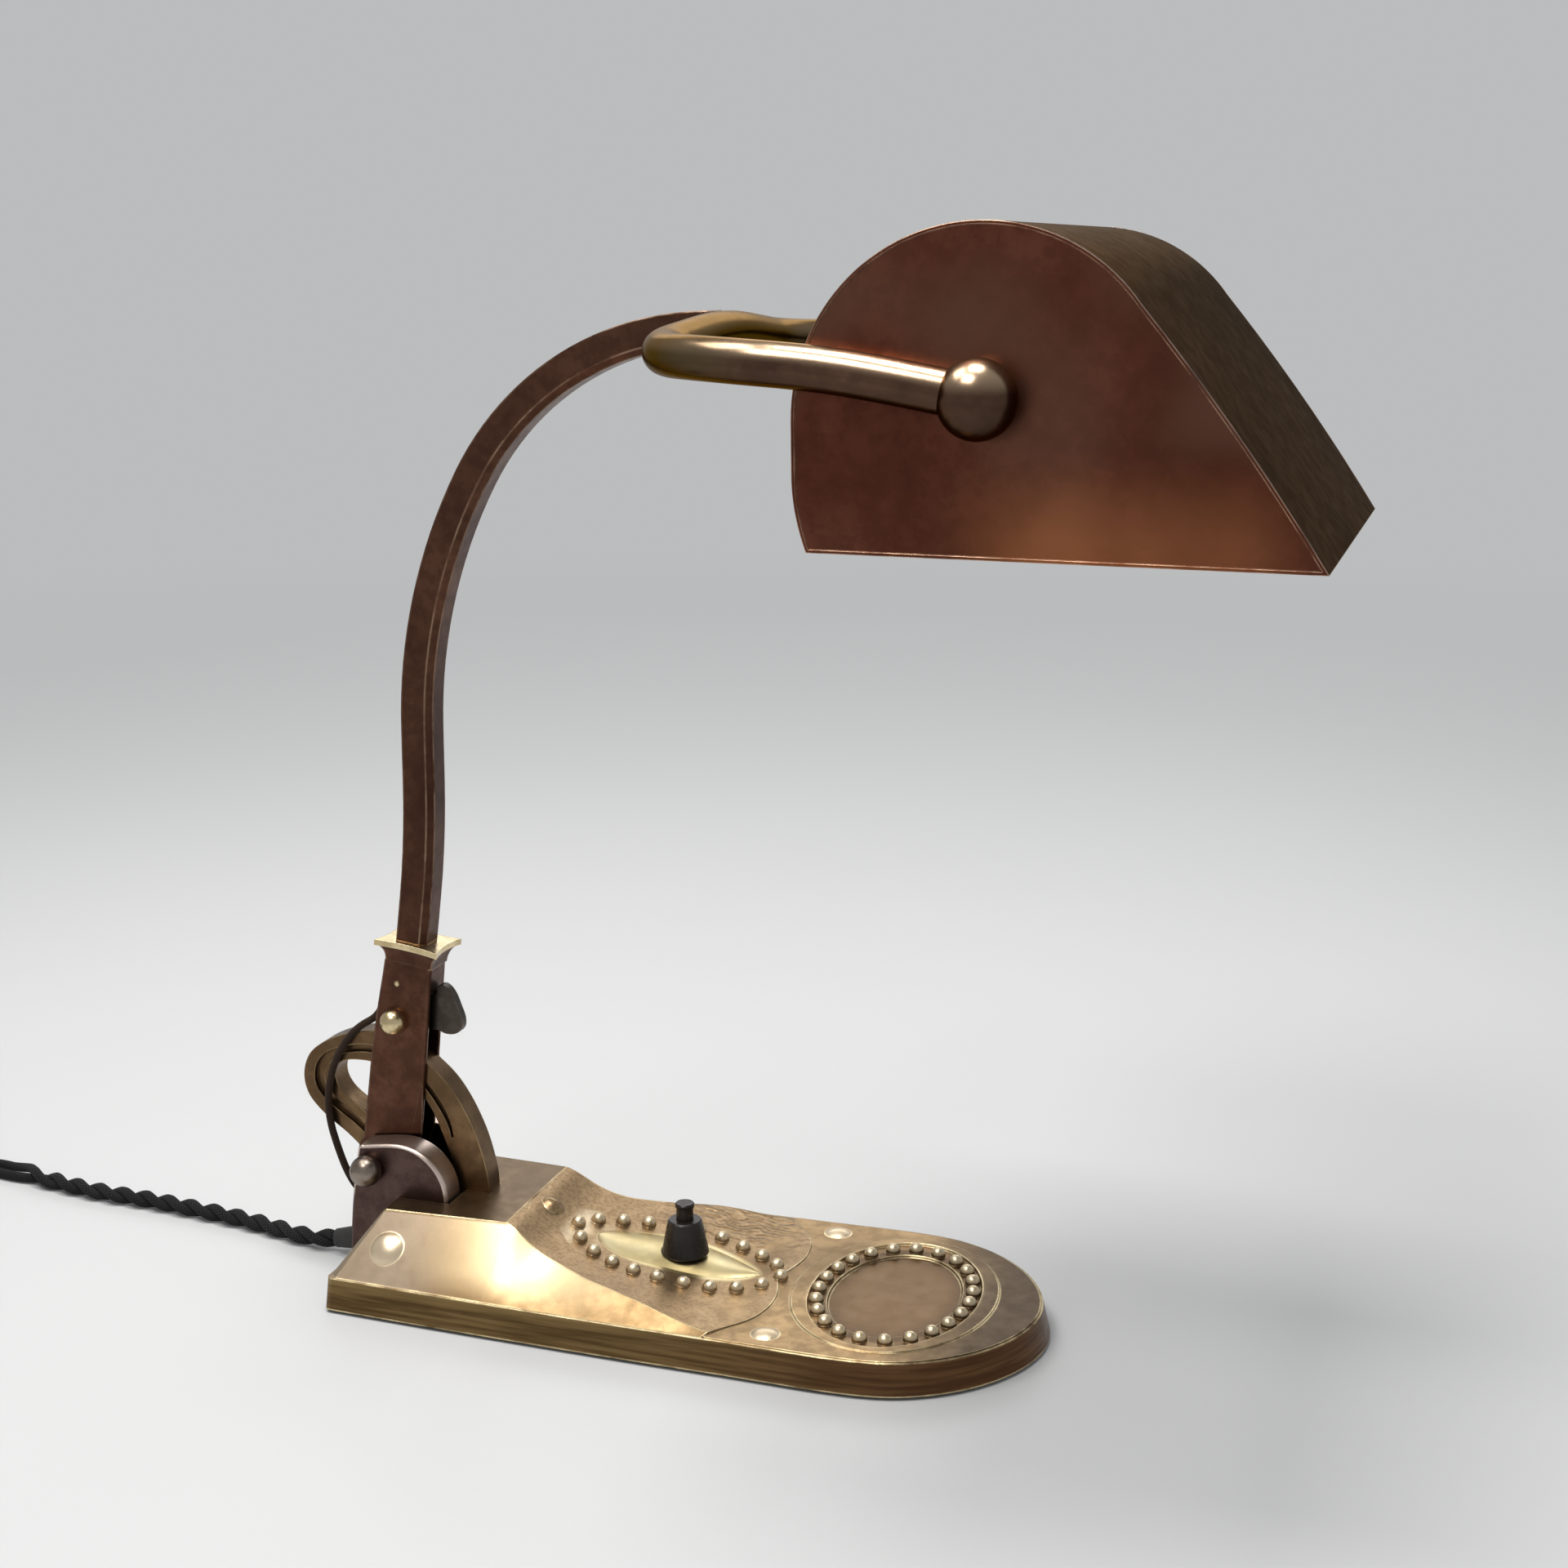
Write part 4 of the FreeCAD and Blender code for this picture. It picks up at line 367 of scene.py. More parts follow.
latch_coil = spring("latch_coil", (-131.8, 0.0, 110.9), radius_mm=1.5, height_mm=8.3, turns=5)
button_coil = spring("button_coil", (-7.5, 0.0, 22.5), radius_mm=3.5, height_mm=5.3, turns=4)
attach(latch_coil, "upright")
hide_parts("latch_spring")
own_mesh(latch_coil)
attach(button_coil, "foot")
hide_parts("switch_spring")
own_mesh(button_coil)
print("springs:", len(latch_coil.data.vertices), "and", len(button_coil.data.vertices), "points")

# %% [markdown]
# ## The felt sole
# Felt is soft and slightly uneven, and its cut edge is rounded and fuzzy. A plate with a bevel would look
# hard. Here the outline is taken from the CAD sole's own corners, rings of points round its edge, and
# more rings inside let the underside undulate a little.

# %% Make the felt sole
FELT_T = 0.001
LUMP = 0.00008
LUMPS_PER_M = 260
outline = {}
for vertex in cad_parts["felt_pad"].data.vertices:
    if vertex.co.z < 0.1 * FELT_T:
        outline[(round(vertex.co.x, 5), round(vertex.co.y, 5))] = math.atan2(vertex.co.y, vertex.co.x)
rim = [Vector((x, y, 0)) for x, y in sorted(outline, key=outline.get)]
# Rings from the top's edge round to the middle of the underside: size, inset in millimetres, height
felt_rings = [(1.0, 0.45, 0.9), (1.0, 0.0, 0.62), (1.0, 0.05, 0.3), (1.0, 0.6, 0.04), (1.0, 4.0, 0.0),
              (0.85, 4.0, 0.0), (0.6, 4.0, 0.0), (0.3, 4.0, 0.0)]
felt_vertices = []
for scale, inset_mm, height in felt_rings:
    for point in rim:
        inward = point * scale - point.normalized() * inset_mm * MM
        wave = 0.5 + 0.5 * noise.noise(point * LUMPS_PER_M * scale)
        z = FELT_T * height + (LUMP * wave if height < 0.1 else 0.0)
        felt_vertices.append((inward.x, inward.y, z))
count = len(rim)
felt_faces = []
for ring in range(len(felt_rings) - 1):
    outer, inner = ring * count, (ring + 1) * count
    for k in range(count):
        n = (k + 1) % count
        felt_faces.append((outer + k, outer + n, inner + n, inner + k))
felt_faces.append(tuple(range(count)))
felt_faces.append(tuple((len(felt_rings) - 1) * count + k for k in reversed(range(count))))
felt_mesh = bpy.data.meshes.new("felt_sole")
felt_mesh.from_pydata(felt_vertices, [], felt_faces)
felt = in_scene("felt_sole", felt_mesh)
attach(felt, "foot")
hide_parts("felt_pad")
print("felt rim points:", count)

# %% [markdown]
# ## Inside the bulb
# Who looks up under the shade sees the clear bulb's glass stem and the bent wire that glows. They could
# be solids of the CAD model, but nothing is ever measured or touched there. Thin tubes along short lines
# are enough.

# %% Make the bulb's inside
BULB_MM = (123.0, 42.0, 345.0)
STEM_R, STEM_STEP, STEM_SIDES = 0.0032, 0.002, 20
WIRE_R, WIRE_STEP, WIRE_SIDES = 0.00028, 0.001, 8
FILAMENT_STEP = 0.0008
WIRE_DEPTH = 34
ZIGZAGS = 12


def in_bulb(aside, depth):
    """A point in the bulb, in millimetres from the mouth of its cap."""
    x, y, z = BULB_MM
    return (x + aside, y - depth, z)


stem_route = [in_bulb(0, 1), in_bulb(0, 9), in_bulb(0, 17)]
stem_points, _ = lay_line("stem_line", stem_route, STEM_STEP)
stem = tube_mesh("bulb_stem", [stem_points], STEM_R, STEM_SIDES)
wire_lines = []
for side in (-1, 1):
    route = [in_bulb(side * 1.2, 15), in_bulb(side * 2.5, 24), in_bulb(side * 8.5, 31),
             in_bulb(side * 9.0, WIRE_DEPTH)]
    wire_lines.append(lay_line("wire_line", route, WIRE_STEP)[0])
filament_route = [in_bulb(-9.0, WIRE_DEPTH)]
for i in range(ZIGZAGS):
    filament_route.append(in_bulb(-8.0 + i * 1.45, WIRE_DEPTH + (2.2 if i % 2 else -1.2)))
filament_route.append(in_bulb(9.0, WIRE_DEPTH))
wire_lines.append(lay_line("wire_line", filament_route, FILAMENT_STEP)[0])
wires = tube_mesh("bulb_wires", wire_lines, WIRE_R, WIRE_SIDES)
for piece in (stem, wires):
    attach(piece, "shade")
print("bulb wires:", len(wire_lines))

# %% [markdown]
# ## Finishes
# Painted pictures could give the pieces their looks, but they blur close up and need files. Here every
# finish is a small graph of nodes, and a few helpers keep the graphs readable. Patterns are placed by
# object coordinates, which are metres here, so a pattern's size can be said in millimetres.

# %% Helpers that add nodes
def add(tree, kind, inputs=None, **settings):
    """Adds a node. Inputs take a number, a colour or another node's socket."""
    made = tree.nodes.new("ShaderNode" + kind)
    for key, value in settings.items():
        setattr(made, key, value)
    for key, value in (inputs or {}).items():
        if isinstance(value, bpy.types.NodeSocket):
            tree.links.new(value, made.inputs[key])
        else:
            made.inputs[key].default_value = value
    return made


def graph(name):
    """A new material, its empty graph, and the object coordinates in it."""
    material = bpy.data.materials.new(name)
    material.use_nodes = True
    tree = material.node_tree
    tree.nodes.clear()
    return material, tree, add(tree, "TexCoord").outputs["Object"]


def surface(tree, inputs):
    """Ends a graph with a shader that has the given inputs."""
    shader = add(tree, "BsdfPrincipled", inputs)
    tree.links.new(shader.outputs[0], add(tree, "OutputMaterial").inputs["Surface"])


def parts_of(tree, vector):
    """The X, Y and Z of a place or a direction."""
    made = add(tree, "SeparateXYZ", {0: vector})
    return [made.outputs[i] for i in range(3)]


def facing(tree, kind="Normal"):
    """The three parts of the direction that the surface faces in."""
    return parts_of(tree, add(tree, "NewGeometry").outputs[kind])


print("node helpers ready")

# %% Helpers for values and patterns
def calc(tree, how, a, b=0.0, c=0.0):
    """One step of arithmetic on numbers or sockets."""
    return add(tree, "Math", {0: a, 1: b, 2: c}, operation=how).outputs[0]


def times(tree, first, *others):
    """The product of the given values."""
    for other in others:
        first = calc(tree, "MULTIPLY", first, other)
    return first


def spread(tree, value, start, end, low=0.0, high=1.0):
    """Runs evenly from low to high while the value runs from start to end."""
    ends = {"From Min": start, "From Max": end, "To Min": low, "To Max": high}
    return add(tree, "MapRange", {"Value": value, **ends}).outputs["Result"]


def mask(tree, value, low, high):
    """0 below low, 1 above high, smooth between. With low above high it runs the other way."""
    if low <= high:
        ends = {"From Min": low, "From Max": high, "To Min": 0.0, "To Max": 1.0}
    else:
        ends = {"From Min": high, "From Max": low, "To Min": 1.0, "To Max": 0.0}
    made = add(tree, "MapRange", {"Value": value, **ends}, interpolation_type="SMOOTHSTEP")
    return made.outputs["Result"]


def speckle(tree, where, size_mm, detail=3.0, rough=0.5, offset=0.0):
    """Soft random values from 0 to 1 in spots of about the given size. An offset gives other spots."""
    if offset:
        away = (offset, offset * 0.7, -offset)
        where = add(tree, "VectorMath", {0: where, 1: away}, operation="ADD").outputs[0]
    spots = {"Vector": where, "Scale": 500 / size_mm, "Detail": detail, "Roughness": rough}
    return add(tree, "TexNoise", spots).outputs["Fac"]


def bumped(tree, height, deep_mm, strength=1.0, normal=None):
    """A surface direction that follows a pattern of heights."""
    inputs = {"Strength": strength, "Distance": deep_mm * MM, "Height": height}
    if normal is not None:
        inputs["Normal"] = normal
    return add(tree, "Bump", inputs).outputs[0]


print("pattern helpers ready")

# %% Helpers for colours
def rgb(tone):
    """A tone with full opacity, as a colour socket wants it."""
    return (*tone, 1.0)


def blend_colour(tree, share, a, b):
    """From colour a to colour b, as the share goes from 0 to 1."""
    made = add(tree, "Mix", data_type="RGBA", blend_type="MIX")
    for key, value in (("Factor", share), ("A", a), ("B", b)):
        socket = next(s for s in made.inputs if s.name == key and s.enabled)
        if isinstance(value, bpy.types.NodeSocket):
            tree.links.new(value, socket)
        else:
            socket.default_value = value
    return next(s for s in made.outputs if s.enabled)


def between(tree, share, first, second):
    """A blend of two plain tones."""
    return blend_colour(tree, share, rgb(first), rgb(second))


def tinted(tree, colour, tone, *shares):
    """Lays a plain tone over a colour, as much as the product of the shares says."""
    return blend_colour(tree, times(tree, *shares), colour, rgb(tone))


def darker(tone, share):
    """A share of a tone's brightness."""
    return [part * share for part in tone]


def dress(material, *nodes):
    """Gives CAD nodes a finish."""
    for name in nodes:
        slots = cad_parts[name].data.materials
        for i in range(len(slots)):
            slots[i] = material
        if not len(slots):
            slots.append(material)


def coat(material, *pieces):
    """Gives new pieces a finish."""
    for piece in pieces:
        piece.data.materials.append(material)


print("colour helpers ready")

# %% [markdown]
# ## Patinated brass
# Old brass is dark where the patina is whole, browner in hollows where wax and dust stay, and bright
# on the edges that hands and cloths rub. Two shader nodes find these places on any shape. The Bevel
# node gives the surface direction as if edges were rounded, and where that differs from the true one
# there is an edge. Ambient Occlusion is low in hollows. The rounded direction also drives the gloss,
# so that hard CAD edges catch the light as worn ones do.

# %% The patina graph
EDGE_ENDS = (0.998, 0.945)
MOTTLE_MM = 3.2
RUB_MM = 7.0
GRAIN_MM = 0.9
WAVE_MM = 9.0


def edge_and_hollow(tree, edge_mm, hollow_mm, edge_ends=EDGE_ENDS):
    """Masks for rubbed edges and for hollows, and the rounded surface direction."""
    rounded = add(tree, "Bevel", {"Radius": edge_mm * MM}, samples=6).outputs["Normal"]
    true = add(tree, "NewGeometry").outputs["True Normal"]
    alike = add(tree, "VectorMath", {0: rounded, 1: true}, operation="DOT_PRODUCT").outputs["Value"]
    edge = mask(tree, alike, *edge_ends)
    rays = add(tree, "AmbientOcclusion", {"Distance": hollow_mm * MM}, samples=8, only_local=True)
    hollow = mask(tree, rays.outputs["AO"], 0.85, 0.35)
    outward = mask(tree, rays.outputs["AO"], 0.60, 0.85)
    return times(tree, edge, outward), hollow, rounded


def patina(name, dark, light, rubbed, grime, rough=(0.30, 0.46), cloud_mm=26, edge_mm=0.7, hollow_mm=3.0,
           wear=0.8, cast=0.05, dirt=0.75, sheen_tint=(1.0, 1.0, 1.0), edge_ends=EDGE_ENDS,
           recolour=None, rebump=None):
    """A metal finish. recolour and rebump let one piece add its own local marks."""
    material, tree, where = graph(name)
    edge, hollow, rounded = edge_and_hollow(tree, edge_mm, hollow_mm, edge_ends)
    clouds = mask(tree, speckle(tree, where, cloud_mm, 4.0, 0.55), 0.34, 0.66)
    mottle = speckle(tree, where, MOTTLE_MM, 5.0, 0.65, 0.31)
    colour = between(tree, clouds, dark, light)
    colour = tinted(tree, colour, darker(dark, 0.72), mask(tree, mottle, 0.38, 0.62), 0.45)
    if recolour:
        colour = recolour(tree, where, colour)
    colour = tinted(tree, colour, grime, hollow, dirt)
    uneven = mask(tree, speckle(tree, where, RUB_MM, 4.0, 0.6, 0.9), 0.30, 0.62)
    rub = times(tree, edge, uneven, wear)
    colour = tinted(tree, colour, rubbed, rub)
    shine = calc(tree, "ADD", spread(tree, mottle, 0.3, 0.7, *rough), times(tree, hollow, 0.18))
    shine = calc(tree, "SUBTRACT", shine, times(tree, rub, 0.08))
    grain = speckle(tree, where, GRAIN_MM, 4.0, 0.6, 0.17)
    waves = speckle(tree, where, WAVE_MM, 2.0, 0.5, 0.53)
    relief = calc(tree, "ADD", times(tree, grain, 0.35), waves)
    bump = bumped(tree, relief, cast, normal=rounded)
    if rebump:
        bump = rebump(tree, where, bump)
    surface(tree, {"Base Color": colour, "Metallic": 1.0, "Roughness": shine, "Normal": bump,
                   "Specular Tint": rgb(sheen_tint)})
    return material


print("patina graph ready")

# %% [markdown]
# ## Places on the foot
# The foot has one casting but several looks: a brown plateau at the back, golden slopes beside it with a
# painted highlight, a darker side wall with fine streaks, a raised field on the ramp with a stippled
# ground, a greener dome under the switch that is painted lighter for its highlight, and a browner floor in
# the front dish that is painted darker towards its rim as shade. The front end is darker, partly from its
# patina and partly from the shade's painted shadow, and the beads are painted light for their highlights.
# Its faces could be sorted into groups with a material each, but painted light and polish have no sharp
# borders. So each look is a mask made from where a point is and which way its surface faces. It stays put
# on the metal, and its borders are as soft as wanted.

# %% Regions, the dome and the dish
# The dome and the dish: the centre along the foot and the half-length and half-width, in metres
DOME_X = -0.01025
DOME_HALF = (0.0345, 0.0156)
DISH_X = 0.0789
DISH_HALF = (0.027, 0.0395)


def within(tree, where, *borders):
    """A region. Each border is an axis, and where on it the region starts and is whole, in millimetres."""
    parts = dict(zip("xyz", parts_of(tree, where)))
    return times(tree, *[mask(tree, parts[axis], start * MM, whole * MM) for axis, start, whole in borders])


def in_dome(tree, where):
    """The pointed oval of the dome under the switch."""
    x, y, _ = parts_of(tree, where)
    along = calc(tree, "DIVIDE", calc(tree, "SUBTRACT", x, DOME_X), DOME_HALF[0])
    aside = calc(tree, "DIVIDE", calc(tree, "ABSOLUTE", y), DOME_HALF[1])
    pointed = calc(tree, "POWER", aside, 1.6)
    return mask(tree, calc(tree, "ADD", times(tree, along, along), pointed), 1.08, 0.84)


def from_centre(tree, where, centre_x, half_x, half_y):
    """The square of how far out a point is in an oval on the foot's middle line, 1 on its rim."""
    x, y, _ = parts_of(tree, where)
    along = calc(tree, "DIVIDE", calc(tree, "SUBTRACT", x, centre_x), half_x)
    aside = calc(tree, "DIVIDE", y, half_y)
    return calc(tree, "ADD", times(tree, along, along), times(tree, aside, aside))


def in_dish(tree, where, rim=1.14, floor=1.04):
    """The floor of the front dish, up to the inner side of its beads."""
    return mask(tree, from_centre(tree, where, DISH_X, *DISH_HALF), rim, floor)


print("dome at", DOME_X, "and dish at", DISH_X)

# %% The ramp's field and its leaves
# Places along the foot and the half-width of the ramp's raised field there, in millimetres
FIELD_EDGE = [(-71.0, 29.5), (-57.0, 32.5), (-47.0, 34.3), (-35.0, 38.4), (-21.0, 43.0), (-8.0, 47.2),
              (7.0, 51.0), (21.0, 53.6), (36.0, 55.0)]
CURVE_TOP_MM = 100


def in_field(tree, where):
    """The ramp's raised field, away from the dome."""
    x, y, _ = parts_of(tree, where)
    x_start, x_end = FIELD_EDGE[0][0], FIELD_EDGE[-1][0]
    curve = add(tree, "FloatCurve", {"Value": spread(tree, x, x_start * MM, x_end * MM)})
    line = curve.mapping.curves[0]
    for place, half in FIELD_EDGE[1:-1]:
        line.points.new((place - x_start) / (x_end - x_start), half / CURVE_TOP_MM)
    line.points[0].location = (0.0, FIELD_EDGE[0][1] / CURVE_TOP_MM)
    line.points[-1].location = (1.0, FIELD_EDGE[-1][1] / CURVE_TOP_MM)
    curve.mapping.update()
    half_y = times(tree, curve.outputs["Value"], CURVE_TOP_MM * MM)
    inside = mask(tree, calc(tree, "SUBTRACT", half_y, calc(tree, "ABSOLUTE", y)), 0.0002, 0.0010)
    field = within(tree, where, ("x", -71.2, -70.6), ("x", 36.5, 36.0), ("z", 13.6, 14.0))
    return times(tree, field, inside, calc(tree, "SUBTRACT", 1.0, in_dome(tree, where)))


def in_leaves(tree, where):
    """The patch of cast foliage on the far side of the field."""
    patch = within(tree, where, ("x", -34, -22), ("x", 36, 26), ("y", 21, 27))
    return times(tree, patch, in_field(tree, where))


print("field measured at", len(FIELD_EDGE), "places")

# %% Bosses and beads
# The polished bosses: centre and radius in millimetres
BOSSES = [((-117.0, -42.6, 23.7), 7.3), ((-117.0, 42.6, 23.7), 7.3), ((41.7, -47.2, 13.4), 5.8),
          ((41.7, 47.2, 13.4), 5.8)]
# The two rings of beads, in metres: centre along the foot, half-length, half-width, height of the ground
BEAD_RINGS = [(-0.0104, 0.0428, 0.0230, 0.0120), (0.0789, 0.0294, 0.0408, 0.0136)]
BEAD_SEARCH_MM = 3.2


def on_bosses(tree, where):
    """The polished bosses, found by the distance from their centres."""
    share = 0.0
    for centre, radius in BOSSES:
        spot = {0: where, 1: Vector(centre) * MM}
        away = add(tree, "VectorMath", spot, operation="DISTANCE").outputs["Value"]
        share = calc(tree, "MAXIMUM", share, mask(tree, away, (radius + 0.2) * MM, (radius - 0.5) * MM))
    return share


def on_beads(tree, where):
    """The beads. A ray that starts inside a small bump soon leaves it again, which finds them."""
    z = parts_of(tree, where)[2]
    share = 0.0
    for centre_x, half_x, half_y, ground in BEAD_RINGS:
        off = calc(tree, "SUBTRACT", from_centre(tree, where, centre_x, half_x, half_y), 1.0)
        ring = mask(tree, calc(tree, "ABSOLUTE", off), 0.42, 0.34)
        share = calc(tree, "MAXIMUM", share, times(tree, ring, mask(tree, z, ground, ground + 0.0004)))
    rays = add(tree, "AmbientOcclusion", {"Distance": BEAD_SEARCH_MM * MM}, samples=8, inside=True,
               only_local=True)
    return times(tree, share, mask(tree, rays.outputs["AO"], 0.86, 0.62))


print("bosses:", len(BOSSES), "rings of beads:", len(BEAD_RINGS))

# %% [markdown]
# ## The foot's colours
# A picture painted by hand could hold all the looks, but it would need a flat map of a complicated
# casting. Instead they are laid over the plain patina one after another, each in its own region: first
# the slopes, the plateau and the wall, then the stippled ground, and last the dome, the bosses, the dish
# and the beads. Several of them paint light and shade in: the shade's shadow over the front end,
# highlights on the slopes, the dome and the beads, and shade towards the dish's rim. Noise that is
# squeezed upright makes the wall's long streaks.

# %% Tones of the foot
WALL_OLIVE = (0.105, 0.062, 0.026), (0.215, 0.138, 0.058)
WALL_RED = (0.085, 0.040, 0.019), (0.150, 0.078, 0.036)
WALL_LIT = (0.34, 0.235, 0.10)
# Darker patina towards the front end, with the shade's shadow painted in as well
FRONT_PATINA_AND_SHADOW = (0.056, 0.034, 0.017)
DULL_SLOPE = (0.46, 0.37, 0.28)
PLATEAU = (0.150, 0.105, 0.070)
# A painted highlight for the side slopes
SLOPE_HIGHLIGHT = (0.78, 0.60, 0.36)
FIELD_GROUND = (0.40, 0.275, 0.150), (0.29, 0.19, 0.102)
# The dome's greener gold, painted lighter to stand in for its highlight
DOME_GOLD_AND_HIGHLIGHT = (0.62, 0.50, 0.24), (0.80, 0.70, 0.42)
BOSS_BRIGHT = (0.90, 0.74, 0.52)
# The dish's brown floor, painted darker towards its rim as shade
DISH_BROWN_AND_SHADE = (0.105, 0.062, 0.028), (0.20, 0.122, 0.058)
# Painted highlights on the beads
BEAD_HIGHLIGHT = (0.95, 0.81, 0.58)
STREAK_MM = 24
STREAK_STRETCH = 26.0
PIT_MM = 0.8
BELOW_PLATEAU = ("z", 35.3, 34.5)
ABOVE_SLOPES = ("z", 34.5, 35.3)


def wall_colours(tree, where):
    """The side wall: streaked, redder towards the front, lit along its top at the back."""
    squeeze = {0: where, 1: (1.0, 1.0, STREAK_STRETCH)}
    stretched = add(tree, "VectorMath", squeeze, operation="MULTIPLY").outputs[0]
    streaks = mask(tree, speckle(tree, stretched, STREAK_MM, 4.0, 0.6), 0.36, 0.66)
    olive = between(tree, streaks, *WALL_OLIVE)
    redder = between(tree, streaks, *WALL_RED)
    tone = blend_colour(tree, within(tree, where, ("x", -20, 110)), olive, redder)
    return tinted(tree, tone, WALL_LIT, within(tree, where, ("z", 8.5, 12.8), ("x", 60, -60)), 0.55)


def foot_pits(tree, where):
    """The tiny pits of the stippled ground."""
    return speckle(tree, where, PIT_MM, 2.0, 0.5, 0.11)


def foot_colours(tree, where, colour):
    """All looks of the casting, one over another, painted light and shade among them."""
    # Darker patina at the front end, with the shade's shadow painted in as well.
    colour = tinted(tree, colour, FRONT_PATINA_AND_SHADOW, within(tree, where, ("x", 66, 124)), 0.93)
    colour = tinted(tree, colour, DULL_SLOPE, within(tree, where, ("x", -78, -115), BELOW_PLATEAU), 0.7)
    colour = tinted(tree, colour, PLATEAU, within(tree, where, ("x", -70, -73), ABOVE_SLOPES), 0.65)
    # A painted highlight on the side slopes, centred where the light glints.
    slopes = within(tree, where, ("x", -112, -66), ("x", -5, -50), ("z", 12, 22), BELOW_PLATEAU)
    off_field = calc(tree, "SUBTRACT", 1.0, in_field(tree, where))
    colour = tinted(tree, colour, SLOPE_HIGHLIGHT, slopes, off_field, 0.75)
    colour = blend_colour(tree, within(tree, where, ("z", 13.2, 12.8)), colour, wall_colours(tree, where))
    ground = between(tree, mask(tree, foot_pits(tree, where), 0.42, 0.62), *FIELD_GROUND)
    colour = blend_colour(tree, times(tree, in_field(tree, where), 0.75), colour, ground)
    # The dome's greener gold, painted lighter to stand in for its highlight.
    gold = between(tree, mask(tree, speckle(tree, where, 12, 3.0), 0.35, 0.65), *DOME_GOLD_AND_HIGHLIGHT)
    colour = blend_colour(tree, times(tree, in_dome(tree, where), 0.9), colour, gold)
    colour = tinted(tree, colour, BOSS_BRIGHT, on_bosses(tree, where), 0.85)
    # The dish's browner floor, painted darker towards its rim as shade under its wall; the overlay also
    # lays painted shade over the edge of the inner step.
    brown = between(tree, in_dish(tree, where, rim=1.0, floor=0.35), *DISH_BROWN_AND_SHADE)
    colour = blend_colour(tree, times(tree, in_dish(tree, where), 0.85), colour, brown)
    # The beads are painted light for their highlights.
    return tinted(tree, colour, BEAD_HIGHLIGHT, on_beads(tree, where), 0.95)


print("foot colours ready")

# %% [markdown]
# ## The foot's relief
# The ramp's ground is stippled, and shallow leaves are cast on its far side. Both are far too fine for
# the CAD model, so bumps in the finish draw them. One more bump, only on the side slopes, softens the
# bend beside the plateau's front: the casting turns gently there, and the CAD slope has a slight crease.

# %% Bumps of the foot
BEND_X = -0.071
BEND_WIDTH = 0.013
BEND_MM = 0.39
LEAF_SCALE = 260.0
CURL_SCALE = 55.0


def softened_bend(tree, where):
    """A shallow dip on the side slopes that makes their bend beside the plateau's front turn gently."""
    x, _, z = parts_of(tree, where)
    away = calc(tree, "DIVIDE", calc(tree, "ABSOLUTE", calc(tree, "SUBTRACT", x, BEND_X)), BEND_WIDTH)
    close = calc(tree, "SUBTRACT", 1.0, calc(tree, "MINIMUM", away, 1.0))
    on_slope = mask(tree, calc(tree, "ABSOLUTE", facing(tree, "True Normal")[1]), 0.45, 0.55)
    tall = spread(tree, z, 0.014, 0.035)
    return times(tree, close, close, -1.0, times(tree, on_slope, tall))


def foot_relief(tree, where, bump):
    """The softened bend, the stippled ground and the leaves, one after another."""
    bump = bumped(tree, softened_bend(tree, where), BEND_MM, normal=bump)
    stipple = times(tree, foot_pits(tree, where), -1.0, in_field(tree, where))
    bump = bumped(tree, stipple, 0.07, 0.6, bump)
    veins = add(tree, "TexVoronoi", {"Vector": where, "Scale": LEAF_SCALE}, feature="SMOOTH_F1")
    curls = add(tree, "TexWave", {"Vector": where, "Scale": CURL_SCALE, "Distortion": 9.0, "Detail": 2.0,
                                  "Detail Scale": 1.5}, wave_type="RINGS")
    foliage = calc(tree, "ADD", veins.outputs["Distance"], curls.outputs["Fac"])
    return bumped(tree, times(tree, foliage, in_leaves(tree, where)), 0.35, 0.9, bump)


foot_brass = patina("foot_brass", dark=(0.24, 0.155, 0.074), light=(0.45, 0.300, 0.146),
                    rubbed=(0.95, 0.78, 0.46), grime=(0.085, 0.05, 0.028), rough=(0.30, 0.42), cloud_mm=34,
                    edge_mm=0.9, hollow_mm=2.0, wear=0.95, dirt=0.6, edge_ends=(0.9990, 0.986),
                    recolour=foot_colours, rebump=foot_relief)
dress(foot_brass, "base_casting")
print("foot done:", len(foot_brass.node_tree.nodes), "nodes")

# %% [markdown]
# ## The hinge and the upright
# These castings were left darker than the foot: a purplish brown bracket with a painted highlight on its
# crown, a golden brown guide bar, and a red-brown upright and arm. One material with a mask for each could
# do it all, but the patina graph is easier to read with one set of tones for each casting.

# %% Bracket, bolt, guide bar, upright and arm
# Painted highlight on the bracket's crown
BRACKET_CROWN_HIGHLIGHT = (0.80, 0.66, 0.58)


def crown_highlight(tree, where, colour):
    """The crown over the bracket's cheeks, which doesn't face sideways, is painted lighter as a highlight.
    """
    sideways = calc(tree, "ABSOLUTE", facing(tree)[1])
    above = within(tree, where, ("z", 30, 40))
    # Painted highlight on the upward faces of the crown.
    return tinted(tree, colour, BRACKET_CROWN_HIGHLIGHT, mask(tree, sideways, 0.985, 0.92), above, 0.85)


bracket_bronze = patina("bracket_bronze", dark=(0.058, 0.034, 0.030), light=(0.100, 0.062, 0.054),
                        rubbed=(0.58, 0.47, 0.39), grime=(0.022, 0.013, 0.010), rough=(0.28, 0.38),
                        edge_mm=0.8, wear=0.9, recolour=crown_highlight)
dress(bracket_bronze, "pivot_bracket")

bolt_bronze = patina("bolt_bronze", dark=(0.20, 0.16, 0.13), light=(0.33, 0.275, 0.23),
                     rubbed=(0.48, 0.42, 0.35), grime=(0.05, 0.036, 0.028), rough=(0.26, 0.36), cloud_mm=7,
                     wear=0.5, cast=0.02)
dress(bolt_bronze, "pivot_bolt", "pivot_ball_nut")

